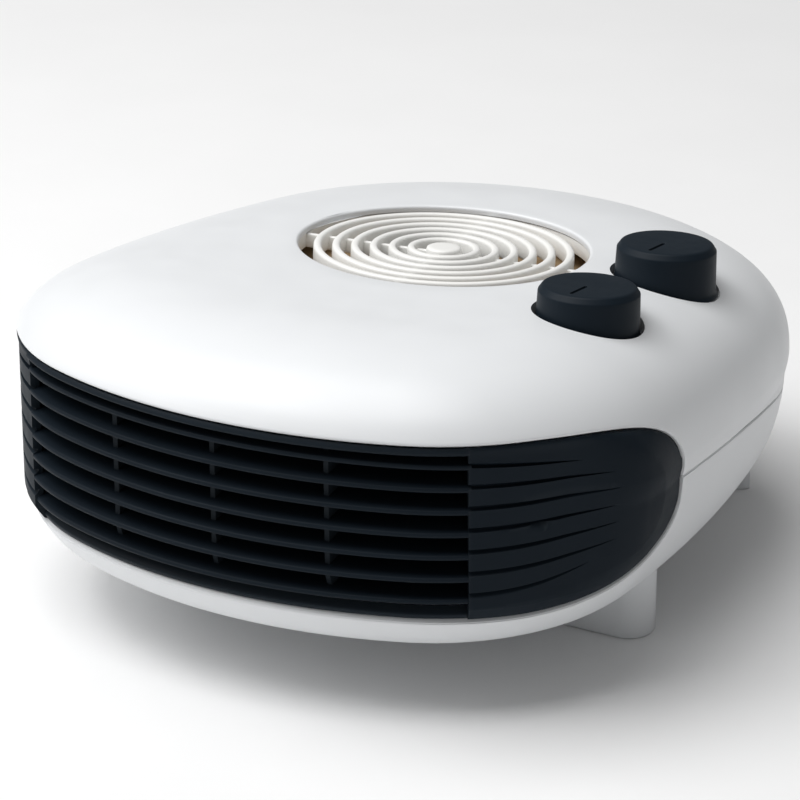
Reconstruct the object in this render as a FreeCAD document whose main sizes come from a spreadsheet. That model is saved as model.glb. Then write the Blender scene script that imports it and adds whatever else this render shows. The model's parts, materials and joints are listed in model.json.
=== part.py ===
import FreeCAD, Part
import math
import os
import Sketcher
from FreeCAD import Placement, Rotation, Vector

# Fan convector heater: origin at the middle of the footprint, on the floor; front faces -Y.
DOC = FreeCAD.newDocument("fan_heater")
SHEET = DOC.addObject("Spreadsheet::Sheet", "dims")

# name, value in mm or degrees, meaning
SIZES = [
    ("front_y", -144.9, "foremost point of the plan outline"),
    ("front_radius", 182.8, "plan radius of the front"),
    ("corner_radius", 87.9, "plan radius of the front corners"),
    ("side_radius", 450.4, "plan radius of the tapering sides"),
    ("front_end", 21.8, "outline direction where the front meets the corner"),
    ("corner_end", 89.2, "outline direction where the corner meets the side"),
    ("side_end", 103.0, "outline direction where the side meets the rear"),
    ("deck_y", 16.1, "centre of the air intake"),
    ("deck_z", 110.75, "height of the top at the intake centre"),
    ("deck_tilt", 5.6, "slope of the top, falling to the rear"),
    ("waist_z", 72.8, "level of the widest section"),
    ("chine_z", 65.4, "level where the underside curve starts"),
    ("floor_z", 23.9, "underside of the case"),
    ("shoulder_inset", 66.0, "plan width of the rounded shoulder"),
    ("shoulder_power", 2.47, "fullness of the shoulder curve"),
    ("chine_inset", 1.4, "draw-in between waist and chine"),
    ("bilge_inset", 21.5, "plan width of the rounded underside"),
    ("bilge_power", 2.2, "fullness of the underside curve"),
    ("wall", 2.2, "case wall thickness"),
    ("parting_radius", 790.0, "side-view radius of the parting line"),
    ("parting_y", -57.6, "crest of the parting line"),
    ("parting_z", 68.2, "height of that crest"),
    ("parting_gap", 0.4, "shadow gap between the two case halves"),
    ("lip_height", 3.0, "locating lip above the parting line"),
    ("lip_thick", 1.2, "thickness of that lip"),
    ("gap", 0.35, "general clearance between mating mouldings"),
    ("edge_radius", 0.5, "softened edge along the outlet and the parting line"),
    ("outlet_end_y", -35.6, "rear end of the outlet opening"),
    ("outlet_low_z", 36.2, "lower edge of the outlet at the corners"),
    ("outlet_high_z", 100.6, "upper edge of the outlet at the corners"),
    ("outlet_mid_z", 63.2, "middle height of the outlet end"),
    ("outlet_low_front_z", 38.2, "lower edge at the front"),
    ("outlet_high_front_z", 103.3, "upper edge at the front"),
    ("outlet_bend_y", -100.0, "where the edges begin to curve together"),
    ("grille_inset", 1.2, "outlet grille set back from the case skin"),
    ("grille_thick", 2.8, "cheek thickness"),
    ("grille_flange", 3.0, "flange behind the case edge"),
    ("window_half", 85.5, "half width of the slatted window"),
    ("window_rail", 2.6, "rail above and below the window"),
    ("slat_count", 7, "slats"),
    ("slat_top_z", 84.7, "level of the top slat"),
    ("slat_pitch", 6.87, "level step between slats"),
    ("slat_depth", 12.0, "front to back depth of a slat"),
    ("slat_thick", 1.5, "slat thickness"),
    ("slat_rise", 2.4, "rise of a slat towards the inside"),
    ("rib_pitch", 41.0, "spacing of the upright ribs"),
    ("rib_thick", 1.8, "rib thickness"),
    ("rib_front", 4.5, "ribs start this far behind the skin"),
    ("rib_back", 15.5, "ribs end this far behind the skin"),
    ("groove_depth", 1.1, "depth of the cheek grooves"),
    ("groove_width", 1.9, "width of the cheek grooves at the window"),
    ("groove_start_y", -121.0, "front end of the grooves"),
    ("groove_top_z", 94.0, "height of the top groove"),
    ("groove_pitch", 7.7, "spacing of the grooves"),
    ("groove_meet", 0.22, "share by which the grooves close up"),
    ("intake_radius", 51.0, "intake opening in the top"),
    ("intake_chamfer", 1.0, "softened edge of that opening"),
    ("ring_outer", 45.6, "outer radius of the largest ring"),
    ("ring_pitch", 6.55, "radial step between rings"),
    ("ring_count", 6, "rings"),
    ("ring_thick", 2.8, "ring wall"),
    ("ring_height", 7.0, "ring height"),
    ("ring_sink", 0.6, "rings sit this far below the top"),
    ("ring_round", 0.9, "softened ring edge"),
    ("hub_radius", 6.2, "centre disc of the intake grille"),
    ("spoke_width", 2.0, "spoke width"),
    ("spoke_height", 5.0, "spoke height"),
    ("spoke_turn", 10.0, "turn of the spokes"),
    ("collar_inner", 51.4, "mounting collar inner radius"),
    ("collar_outer", 55.0, "mounting collar outer radius"),
    ("collar_top", -2.6, "top of the collar below the deck"),
    ("knob_face", 15.8, "flat face radius"),
    ("knob_bevel_radius", 17.2, "radius below the bevel"),
    ("knob_skirt", 17.7, "radius at the foot of the skirt"),
    ("knob_flare", 18.7, "radius of the flared base"),
    ("knob_height", 17.8, "knob height"),
    ("knob_bevel", 2.0, "bevel height"),
    ("knob_flare_height", 1.3, "flare height"),
    ("mark_half", 0.8, "half width of the pointer groove"),
    ("mark_depth", 0.6, "pointer groove depth"),
    ("mark_start", 2.5, "pointer groove inner end"),
    ("mark_end", 13.5, "pointer groove outer end"),
    ("well_radius", 19.2, "seat around a knob"),
    ("well_clear", 0.4, "air under a knob"),
    ("cup_wall", 2.2, "wall of the seat"),
    ("thermo_x", 78.8, "thermostat knob"),
    ("thermo_y", -39.4, "thermostat knob, from the intake centre"),
    ("thermo_base", -8.9, "underside of the thermostat knob"),
    ("switch_x", 77.2, "selector knob"),
    ("switch_y", 19.1, "selector knob, from the intake centre"),
    ("switch_base", -7.4, "underside of the selector knob"),
    ("spindle_radius", 3.0, "control spindles"),
    ("spindle_length", 24.0, "control spindle length"),
    ("spindle_top", 13.0, "spindle end above the underside of its knob"),
    ("fit", 0.05, "running clearance on spindles and shaft"),
    ("bush_radius", 4.6, "control neck radius"),
    ("boss_height", 5.0, "screw bosses below a knob seat"),
    ("boss_radius", 3.0, "those bosses"),
    ("boss_offset", 10.5, "boss distance from the spindle"),
    ("control_side", 25.0, "control body width"),
    ("control_depth", 13.0, "control body height"),
    ("control_ear", 1.6, "ear thickness"),
    ("small_screw", 1.2, "small screw shank radius"),
    ("small_head", 2.3, "small screw head radius"),
    ("foot_length", 37.0, "foot length"),
    ("foot_depth", 18.5, "foot depth"),
    ("foot_radius", 9.0, "foot corner radius"),
    ("foot_wall", 2.5, "foot wall"),
    ("foot_inset", 8.0, "feet stay this far inside the outline"),
    ("front_foot_x", 84.5, "front feet"),
    ("front_foot_y", -21.2, "front feet"),
    ("rear_foot_x", 59.0, "rear feet"),
    ("rear_foot_y", 110.5, "rear feet"),
    ("post_radius", 6.0, "case screw posts"),
    ("post_front_x", 98.0, "front posts"),
    ("post_front_y", -52.0, "front posts"),
    ("post_rear_x", 56.0, "rear posts"),
    ("post_rear_y", 108.0, "rear posts"),
    ("screw_grip", 14.0, "case screw head below the parting line"),
    ("screw_reach", 10.0, "case screw above the parting line"),
    ("screw_radius", 1.7, "case screw shank"),
    ("screw_head", 3.6, "case screw head"),
    ("head_height", 2.4, "case screw head height"),
    ("cover_z", -15.6, "underside of the scroll cover"),
    ("cover_thick", 1.6, "scroll cover"),
    ("eye_radius", 30.0, "air eye in the scroll cover"),
    ("scroll_floor", -47.8, "underside of the scroll"),
    ("scroll_wall", 1.8, "scroll wall"),
    ("scroll_start", 54.0, "scroll radius at the tongue"),
    ("scroll_end", 72.0, "scroll radius at the left"),
    ("tongue_angle", -30.0, "direction of the tongue"),
    ("mouth_y", -48.0, "mouth of the scroll"),
    ("mouth_right", 52.0, "right end of the mouth"),
    ("fan_top", -18.0, "top of the impeller"),
    ("fan_bottom", -44.5, "bottom of the impeller"),
    ("fan_radius", 48.0, "impeller radius"),
    ("fan_inner", 36.0, "inner radius of the blades"),
    ("fan_plate", 1.6, "impeller back plate"),
    ("fan_ring", 2.0, "impeller rim ring"),
    ("fan_hub", 7.0, "impeller hub radius"),
    ("fan_hub_height", 16.0, "impeller hub height"),
    ("fan_blades", 28, "impeller blades"),
    ("blade_thick", 1.0, "impeller blade thickness"),
    ("blade_lean", 5.0, "forward lean of the blade tip"),
    ("shaft_radius", 2.5, "motor shaft"),
    ("shaft_bottom", -82.0, "lower end of the shaft"),
    ("stack_top", -57.0, "top of the laminations"),
    ("stack_height", 14.0, "lamination stack"),
    ("stack_half_x", 28.0, "half width of the stack"),
    ("stack_rear", 22.0, "rear edge of the stack"),
    ("stack_front", 38.0, "front edge of the stack"),
    ("bore_radius", 15.0, "stator bore"),
    ("window_half_x", 17.0, "coil window"),
    ("window_near", 19.0, "coil window, near the bore"),
    ("window_far", 30.0, "coil window, far side"),
    ("rotor_radius", 14.6, "rotor"),
    ("rotor_extra", 1.0, "rotor overhang at each end"),
    ("bobbin_wall", 0.9, "bobbin wall"),
    ("bobbin_flange", 1.2, "bobbin flange"),
    ("coil_build", 6.4, "winding thickness"),
    ("bracket_width", 14.0, "bearing bracket width"),
    ("bracket_rise", 8.0, "bearing bracket rise"),
    ("bracket_thick", 1.6, "bearing bracket thickness"),
    ("bracket_foot", 17.5, "inner end of the bracket foot"),
    ("bearing_radius", 5.0, "bearing outside radius"),
    ("bearing_length", 6.0, "bearing length"),
    ("motor_screw_x", 23.5, "motor screws"),
    ("element_y", -90.0, "middle of the heating element"),
    ("element_z", 75.0, "middle of the heating element"),
    ("element_half_x", 82.0, "half width of the element frame"),
    ("element_height", 46.0, "element frame height"),
    ("element_depth", 24.0, "element frame depth"),
    ("sheet_thick", 0.8, "sheet steel"),
    ("ribbon_rows", 5, "heating ribbons"),
    ("ribbon_pitch", 8.4, "ribbon spacing"),
    ("ribbon_width", 6.0, "ribbon width"),
    ("ribbon_thick", 0.5, "ribbon thickness"),
    ("ribbon_wave", 2.4, "ribbon wave height"),
    ("ribbon_step", 3.0, "ribbon half wave length"),
    ("ribbon_half", 78.0, "ribbon half length"),
    ("board_thick", 0.8, "mica board"),
    ("board_pitch", 48.0, "mica board spacing"),
    ("board_slot", 6.4, "slot height in a mica board"),
    ("duct_wall", 1.2, "air duct wall"),
    ("duct_rear_y", -37.0, "duct end at the scroll"),
    ("duct_front_y", -77.5, "duct end at the element"),
    ("gland_z", 33.5, "cord inlet height"),
    ("gland_y", 141.2, "outer face of the cord inlet boss"),
    ("gland_hole", 5.6, "cord inlet hole"),
    ("gland_boss", 9.2, "cord inlet boss radius"),
    ("gland_depth", 16.0, "cord inlet boss length"),
    ("gland_bore", 3.6, "cord passage"),
    ("gland_flange", 7.6, "grommet flange radius"),
    ("gland_lip", 2.2, "grommet flange thickness"),
    ("terminal_length", 34.0, "terminal block"),
    ("terminal_depth", 13.0, "terminal block"),
    ("terminal_height", 13.0, "terminal block"),
    ("terminal_y", 88.0, "terminal block"),
    ("clamp_y", 114.0, "cord clamp bar"),
    ("clamp_length", 26.0, "cord clamp bar"),
    ("clamp_width", 8.0, "cord clamp bar"),
    ("clamp_height", 3.0, "cord clamp bar"),
    ("pillar_radius", 3.2, "small posts on the floor"),
    ("pillar_height", 7.0, "small posts on the floor"),
    ("clamp_screw_x", 9.0, "clamp screws"),
    ("cutout_radius", 7.5, "thermal cut-out"),
    ("cutout_height", 6.0, "thermal cut-out"),
    ("fuse_radius", 2.0, "thermal fuse"),
    ("fuse_length", 12.0, "thermal fuse"),
    ("standoff", 7.5, "motor stand-offs below the scroll"),
    ("fan_middle", 42.0, "middle of an impeller blade"),
    ("blade_bow", 1.2, "bow of an impeller blade"),
    ("element_half_z", 23.0, "half height of the element frame"),
    ("clamp_half", 13.0, "half length of the cord clamp"),
    ("clamp_half_width", 4.0, "half width of the cord clamp"),
    ("head_round", 1.2, "screw head, start of its crown"),
    ("recess_half", 0.5, "half width of a screw slot"),
    ("recess_length", 1.8, "half length of a screw slot"),
    ("case_screw_length", 23.0, "case screw length"),
    ("motor_screw_length", 24.0, "motor screw length"),
    ("control_screw_length", 6.0, "control screw length"),
    ("clamp_screw_length", 8.5, "clamp screw length"),
]

S = {}
for row, (name, value, meaning) in enumerate(SIZES, start=1):
    SHEET.set("A%d" % row, name)
    SHEET.set("B%d" % row, str(value))
    SHEET.set("C%d" % row, meaning)
    SHEET.setAlias("B%d" % row, name)
    S[name] = value
DOC.recompute()

FAR = 400.0
DECK = Placement(
    Vector(0, S["deck_y"], S["deck_z"]),
    Rotation(Vector(1, 0, 0), -S["deck_tilt"]),
)
NODES = []


# ---------- small helpers ----------

def amount(text):
    """Value of a text such as 'wall + gap', made of size names and signs."""
    total = 0.0
    sign = 1.0
    for token in text.split():
        if token in "+-":
            sign = 1.0 if token == "+" else -1.0
        else:
            total += sign * S[token]
            sign = 1.0
    return total


def formula(text):
    """The same text written as a spreadsheet expression."""
    words = [token if token in "+-" else "dims." + token for token in text.split()]
    return " ".join(words)


def new_body(label):
    body = DOC.addObject("PartDesign::Body", label)
    body.Label = label
    return body


def new_sketch(body, plane, lift=""):
    sketch = body.newObject("Sketcher::SketchObject", body.Label + "_sketch")
    support = [item for item in body.Origin.OriginFeatures if item.Role == plane][0]
    sketch.AttachmentSupport = (support, [""])
    sketch.MapMode = "FlatFace"
    if lift:
        sketch.setExpression("AttachmentOffset.Base.z", formula(lift))
    return sketch


def tie(sketch, kind, geometry, point, text):
    """Hold one coordinate of a sketch point at a spreadsheet size."""
    size = amount(text) if text else 0.0
    index = sketch.addConstraint(Sketcher.Constraint(kind, geometry, point, size))
    if text:
        sketch.setExpression("Constraints[%d]" % index, formula(text))


def draw_loop(sketch, corners):
    """Closed polygon whose corners are pairs of size texts."""
    first = sketch.GeometryCount
    count = len(corners)
    spots = [Vector(amount(x), amount(y), 0) for x, y in corners]
    for i in range(count):
        sketch.addGeometry(Part.LineSegment(spots[i], spots[(i + 1) % count]), False)
    for i in range(count):
        after = first + (i + 1) % count
        sketch.addConstraint(Sketcher.Constraint("Coincident", first + i, 2, after, 1))
    for i, (x, y) in enumerate(corners):
        tie(sketch, "DistanceX", first + i, 1, x)
        tie(sketch, "DistanceY", first + i, 1, y)


def draw_box(sketch, left, right, low, high):
    draw_loop(sketch, [(left, low), (right, low), (right, high), (left, high)])


def draw_circle(sketch, x, y, radius):
    centre = Vector(amount(x), amount(y), 0)
    circle = Part.Circle(centre, Vector(0, 0, 1), amount(radius))
    index = sketch.addGeometry(circle, False)
    size = sketch.addConstraint(Sketcher.Constraint("Radius", index, amount(radius)))
    sketch.setExpression("Constraints[%d]" % size, formula(radius))
    tie(sketch, "DistanceX", index, 3, x)
    tie(sketch, "DistanceY", index, 3, y)


def pad(body, sketch, length, centred=False, down=False):
    feature = body.newObject("PartDesign::Pad", body.Label + "_pad")
    feature.Profile = sketch
    feature.setExpression("Length", formula(length))
    if centred:
        feature.SideType = "Symmetric"
    feature.Reversed = down
    return feature


def pocket(body, sketch, centred=True, length="", down=True):
    feature = body.newObject("PartDesign::Pocket", body.Label + "_pocket")
    feature.Profile = sketch
    if length:
        feature.setExpression("Length", formula(length))
        feature.Reversed = not down
    else:
        feature.Type = "ThroughAll"
        feature.SideType = "Symmetric" if centred else "One side"
    return feature


def turn(body, sketch):
    feature = body.newObject("PartDesign::Revolution", body.Label + "_turn")
    feature.Profile = sketch
    feature.ReferenceAxis = (sketch, ["V_Axis"])
    feature.Angle = 360
    return feature


def repeat_round(body, feature, count):
    pattern = body.newObject("PartDesign::PolarPattern", body.Label + "_pattern")
    axis = [item for item in body.Origin.OriginFeatures if item.Role == "Z_Axis"][0]
    pattern.Originals = [feature]
    pattern.Axis = (axis, [""])
    pattern.Angle = 360
    pattern.setExpression("Occurrences", formula(count))
    body.Tip = pattern
    return pattern


def node(item, frame=None):
    """Place a finished sub-part and list it for export."""
    if frame is not None:
        item.Placement = frame
    NODES.append(item)
    return item


def shape_node(label, shape):
    item = DOC.addObject("Part::Feature", label)
    item.Label = label
    item.Shape = shape
    return node(item)


def copies(label, body, frames):
    """One node holding separate, identical solids."""
    DOC.recompute()
    pieces = []
    for frame in frames:
        piece = body.Shape.copy()
        piece.Placement = frame.multiply(body.Shape.Placement)
        pieces.append(piece)
    return shape_node(label, Part.makeCompound(pieces))


def at(x, y, z, turn_deg=0.0, axis=Vector(0, 0, 1)):
    return Placement(Vector(x, y, z), Rotation(axis, turn_deg))


def on_deck(x, y, z, turn_deg=0.0):
    return DECK.multiply(at(x, y, z, turn_deg))


def rod(radius, frame, height):
    cylinder = Part.makeCylinder(radius, height)
    cylinder.Placement = frame
    return cylinder


def block(x0, x1, y0, y1, z0, z1):
    return Part.makeBox(x1 - x0, y1 - y0, z1 - z0, Vector(x0, y0, z0))


# ---------- case form ----------

def outline_arcs(inset):
    """Centre, radius and direction span of each arc of the plan outline."""
    radii = [S["front_radius"], S["corner_radius"], S["side_radius"]]
    ends = [S["front_end"], S["corner_end"], S["side_end"]]
    start = 0.0
    reach = 0.0
    centre = Vector(0, S["front_y"] + radii[0], 0)
    arcs = []
    for i, (radius, end) in enumerate(zip(radii, ends)):
        arcs.append((centre, radius - inset, start, end))
        reach += radius * (math.sin(math.radians(end)) - math.sin(math.radians(start)))
        last = radii[i + 1] if i + 1 < len(radii) else reach / math.sin(math.radians(end))
        aim = Vector(math.sin(math.radians(end)), -math.cos(math.radians(end)), 0)
        centre = centre + aim * (radius - last)
        start = end
    arcs.append((centre, last - inset, start, 180.0))
    return arcs


def outline_point(centre, radius, direction):
    angle = math.radians(direction)
    return centre + Vector(math.sin(angle), -math.cos(angle), 0) * radius


def arc_edge(centre, radius, start, end):
    spots = [outline_point(centre, radius, a) for a in (start, (start + end) / 2, end)]
    return Part.Arc(spots[0], spots[1], spots[2]).toShape()


def outline_wire(inset):
    front, corner, side, rear = outline_arcs(inset)
    edges = [arc_edge(front[0], front[1], -front[3], front[3])]
    edges.append(arc_edge(*corner))
    edges.append(arc_edge(*side))
    edges.append(arc_edge(rear[0], rear[1], rear[2], 360.0 - rear[2]))
    for centre, radius, start, end in (side, corner):
        mirrored = Vector(-centre.x, centre.y, 0)
        edges.append(arc_edge(mirrored, radius, -end, -start))
    return Part.Wire(edges)


def level_frame(level):
    """Sections lean with height: level underneath, sloping at the top."""
    share = (level - S["floor_z"]) / (S["deck_z"] - S["floor_z"])
    lean = math.degrees(math.atan(share * math.tan(math.radians(S["deck_tilt"]))))
    pivot = Vector(0, S["deck_y"], 0)
    return Placement(Vector(0, 0, level), Rotation(Vector(1, 0, 0), -lean), pivot)


def section(inset, level):
    wire = outline_wire(inset)
    wire.Placement = level_frame(level)
    return wire


def shoulder_inset(level, top):
    share = (level - S["waist_z"]) / (top - S["waist_z"])
    power = S["shoulder_power"]
    return S["shoulder_inset"] * (1 - (1 - share ** power) ** (1 / power))


def bilge_inset(level, bottom):
    share = (S["chine_z"] - level) / (S["chine_z"] - bottom)
    curve = 1 - math.sqrt(max(0.0, 1 - share ** S["bilge_power"]))
    return S["chine_inset"] * (1 + 1.2 * share) + S["bilge_inset"] * curve


def draw_in(level):
    """How far the case skin lies inside the widest outline at a level."""
    if level < S["chine_z"]:
        return bilge_inset(level, S["floor_z"])
    if level < S["waist_z"]:
        share = (S["waist_z"] - level) / (S["waist_z"] - S["chine_z"])
        return S["chine_inset"] * share
    return shoulder_inset(level, S["deck_z"])


def form(inset):
    """Solid form of the case, drawn in by the given amount."""
    top = S["deck_z"] - inset
    bottom = S["floor_z"] + inset
    steps = 7
    stations = []
    for i in range(steps, 0, -1):
        share = math.sin(math.pi / 2 * i / steps) ** (2 / S["bilge_power"])
        level = S["chine_z"] - share * (S["chine_z"] - bottom)
        stations.append((level, bilge_inset(level, bottom)))
    stations.append((S["chine_z"], S["chine_inset"]))
    stations.append((S["waist_z"], 0.0))
    for i in range(1, steps + 1):
        share = math.sin(math.pi / 2 * i / steps) ** (2 / S["shoulder_power"])
        level = S["waist_z"] + share * (top - S["waist_z"])
        stations.append((level, shoulder_inset(level, top)))
    wires = [section(draw + inset, level) for level, draw in stations]
    return Part.makeLoft(wires, True, False)


def parting_tool(rise):
    """Everything below the parting surface, raised by the given amount."""
    radius = S["parting_radius"] + rise
    base = Vector(-FAR, S["parting_y"], S["parting_z"] - S["parting_radius"])
    return Part.makeCylinder(radius, 2 * FAR, base, Vector(1, 0, 0))


def parting_height(y):
    away = y - S["parting_y"]
    return S["parting_z"] - S["parting_radius"] + math.sqrt(S["parting_radius"] ** 2 - away ** 2)


def outlet_tool(grow, reach=FAR):
    """Side-view shape of the outlet opening, run across the case to both sides."""
    front = S["front_y"] - 20
    bend = S["outlet_bend_y"]
    end = S["outlet_end_y"] + grow
    low = S["outlet_low_z"] - grow
    high = S["outlet_high_z"] + grow
    low_mid = S["outlet_mid_z"] - 1
    high_mid = S["outlet_mid_z"] + 1
    low_front = Vector(-reach, front, S["outlet_low_front_z"] - grow)
    low_bend = Vector(-reach, bend, low)
    low_end = Vector(-reach, end, low_mid)
    high_end = Vector(-reach, end, high_mid)
    high_bend = Vector(-reach, bend, high)
    high_front = Vector(-reach, front, S["outlet_high_front_z"] + grow)
    lower = Part.BezierCurve()
    lower.setPoles([low_bend, Vector(-reach, end - 24.4, low + 0.6),
                    Vector(-reach, end, low + 9.8), low_end])
    upper = Part.BezierCurve()
    upper.setPoles([high_end, Vector(-reach, end, high_mid + 21),
                    Vector(-reach, end - 12.4, high - 3.6), high_bend])
    edges = [
        Part.LineSegment(low_front, low_bend).toShape(),
        lower.toShape(),
        Part.LineSegment(low_end, high_end).toShape(),
        upper.toShape(),
        Part.LineSegment(high_bend, high_front).toShape(),
        Part.LineSegment(high_front, low_front).toShape(),
    ]
    return Part.Face(Part.Wire(edges)).extrude(Vector(2 * reach, 0, 0))


def case_posts():
    spots = []
    for side in (-1, 1):
        spots.append((side * S["post_front_x"], S["post_front_y"]))
        spots.append((side * S["post_rear_x"], S["post_rear_y"]))
    return spots


def foot_shape(x, y, shrink, z0, z1):
    half = S["foot_length"] / 2 - shrink
    deep = S["foot_depth"] / 2 - shrink
    radius = S["foot_radius"] - shrink
    foot = block(x - half, x + half, y - deep, y + deep, z0, z1)
    upright = [edge for edge in foot.Edges if abs(edge.tangentAt(0).z) > 0.9]
    foot = foot.makeFillet(radius - 0.01, upright)
    plan = Part.Face(outline_wire(S["foot_inset"] + shrink))
    limit = plan.extrude(Vector(0, 0, z1 - z0))
    limit.translate(Vector(0, 0, z0))
    return foot.common(limit)


def add_feet(case, cavity):
    top = S["floor_z"] + 20
    for side in (-1, 1):
        for name in ("front", "rear"):
            x = side * S[name + "_foot_x"]
            y = S[name + "_foot_y"]
            foot = foot_shape(x, y, 0.0, 0.0, top).cut(cavity)
            case = case.fuse(foot)
            case = case.cut(foot_shape(x, y, S["foot_wall"], S["foot_wall"], top))
    return case


def knob_spots():
    return [
        (S["thermo_x"], S["thermo_y"], S["thermo_base"]),
        (S["switch_x"], S["switch_y"], S["switch_base"]),
    ]


def boss_spots(x, y):
    return [(x, y - S["boss_offset"]), (x, y + S["boss_offset"])]


def add_knob_seats(case, skin):
    """Round seats below each knob, with the neck hole and screw bosses."""
    for x, y, base in knob_spots():
        floor = base - S["well_clear"]
        under = floor - S["cup_wall"]
        cup = rod(S["well_radius"] + S["cup_wall"], on_deck(x, y, under), -under)
        case = case.fuse(cup.common(skin))
        for bx, by in boss_spots(x, y):
            depth = under - S["boss_height"]
            case = case.fuse(rod(S["boss_radius"], on_deck(bx, by, depth), S["boss_height"] + 1))
            hole = S["small_screw"] + S["fit"]
            case = case.cut(rod(hole, on_deck(bx, by, depth), S["boss_height"] + 1.2))
        case = case.cut(rod(S["well_radius"], on_deck(x, y, floor), 30.0))
        hole = S["bush_radius"] + S["gap"]
        case = case.cut(rod(hole, on_deck(x, y, under - 1), S["cup_wall"] + 2))
    return case


def open_intake(case):
    case = case.cut(rod(S["intake_radius"], on_deck(0, 0, -20), 40))
    wide = S["intake_radius"] + S["intake_chamfer"]
    soft = Part.makeCone(S["intake_radius"], wide, S["intake_chamfer"])
    soft.Placement = on_deck(0, 0, -S["intake_chamfer"])
    return case.cut(soft)


def add_posts(case, skin):
    """Four screw posts through the whole case."""
    for x, y in case_posts():
        post = rod(S["post_radius"], at(x, y, 0), 200)
        if y < 0:
            post = post.common(skin)
        else:
            post = post.common(skin.fuse(rod(S["post_radius"], at(x, y, 0), S["floor_z"] + 10)))
        case = case.fuse(post)
        seat = parting_height(y) - S["screw_grip"]
        case = case.cut(rod(S["screw_head"] + S["gap"], at(x, y, -1), seat + 1))
        case = case.cut(rod(S["screw_radius"] + 0.2, at(x, y, seat - 1), S["screw_grip"] + 1))
        bore = S["screw_radius"] + S["fit"]
        length = S["screw_grip"] + S["screw_reach"] + 1
        case = case.cut(rod(bore, at(x, y, seat), length))
    return case


def locating_lip(cavity):
    """Lip on the lower half that stands inside the upper half."""
    inner = form(S["wall"] + S["gap"] + S["lip_thick"])
    outer = form(S["wall"] + S["gap"])
    low = -S["lip_height"] - 1
    base = cavity.cut(inner)
    base = base.common(parting_tool(-S["parting_gap"] / 2)).cut(parting_tool(low))
    tongue = outer.cut(inner)
    tongue = tongue.common(parting_tool(S["lip_height"])).cut(parting_tool(-1))
    lip = base.fuse(tongue)
    return lip.cut(block(-FAR, FAR, -FAR, S["outlet_end_y"] + 8, -FAR, FAR))


def soften(part, skin, borders):
    """Round the outer edges along the outlet and the parting line."""
    edges = []
    for edge in part.Edges:
        if edge.Length < S["edge_radius"]:
            continue
        half_way = (edge.FirstParameter + edge.LastParameter) / 2
        point = Part.Vertex(edge.valueAt(half_way))
        if skin.Shells[0].distToShape(point)[0] > 0.02:
            continue
        if min(border.Shells[0].distToShape(point)[0] for border in borders) < 0.02:
            edges.append(edge)
    return part.makeFillet(S["edge_radius"], edges)


def build_case():
    skin = form(0.0)
    cavity = form(S["wall"])
    case = skin.cut(cavity)
    case = add_feet(case, cavity)
    case = add_posts(case, skin)
    opening = outlet_tool(0.0)
    case = case.cut(opening)
    half = S["parting_gap"] / 2
    above = parting_tool(half)
    below = parting_tool(-half)
    upper = soften(case.cut(above), skin, [opening, above])
    upper = open_intake(upper)
    upper = add_knob_seats(upper, skin)
    lower = soften(case.common(below), skin, [opening, below])
    lower = lower.fuse(locating_lip(cavity))
    lower = add_floor_details(lower)
    shape_node("upper_housing", upper.removeSplitter())
    shape_node("lower_housing", lower.removeSplitter())


def add_floor_details(lower):
    """Cord inlet boss, clamp posts and terminal posts."""
    boss_start = S["gland_y"] - S["gland_depth"]
    across = Vector(1, 0, 0)
    boss = rod(S["gland_boss"], at(0, boss_start, S["gland_z"], -90, across), S["gland_depth"])
    boss = boss.common(block(-FAR, FAR, -FAR, FAR, S["floor_z"], FAR))
    lower = lower.fuse(boss)
    hole = rod(S["gland_hole"], at(0, boss_start - 1, S["gland_z"], -90, across), 40)
    lower = lower.cut(hole)
    level = S["floor_z"] + S["wall"] - 0.2
    for x in (-S["clamp_screw_x"], S["clamp_screw_x"]):
        for y in (S["clamp_y"], S["terminal_y"]):
            post = rod(S["pillar_radius"], at(x, y, level), S["pillar_height"] + 0.2)
            lower = lower.fuse(post)
            hole = rod(S["small_screw"] + S["fit"], at(x, y, level + 1.5), 20)
            lower = lower.cut(hole)
    return lower


# ---------- outlet grille ----------

def groove_face(index):
    """Side view of one cheek groove: wide at the window, running out to a point."""
    middle = S["groove_top_z"] - 3 * S["groove_pitch"] + 1.0
    start_z = S["groove_top_z"] - index * S["groove_pitch"]
    tips = [-86.0, -75.0, -73.0, -74.0, -75.0, -76.0, -84.0]
    tip_z = middle + (start_z - middle) * (1 - S["groove_meet"])
    half = S["groove_width"] / 2
    start_y = S["groove_start_y"]
    bend_y = (start_y + tips[index]) / 2
    bend_z = start_z + (tip_z - start_z) * 0.22
    tip = Vector(0, tips[index], tip_z)
    top = Vector(0, start_y, start_z + half)
    bottom = Vector(0, start_y, start_z - half)
    upper = Part.Arc(tip, Vector(0, bend_y, bend_z + half * 0.8), top).toShape()
    lower = Part.Arc(bottom, Vector(0, bend_y, bend_z - half * 0.8), tip).toShape()
    closing = Part.LineSegment(top, bottom).toShape()
    return Part.Face(Part.Wire([upper, closing, lower]))


def groove_tools():
    floor = form(S["grille_inset"] + S["groove_depth"])
    tools = []
    for index in range(int(S["slat_count"])):
        for side in (-1, 1):
            tool = groove_face(index).extrude(Vector(side * 45, 0, 0))
            tool.translate(Vector(side * (S["window_half"] + 1.5), 0, 0))
            tools.append(tool.cut(floor))
    return tools


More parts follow.
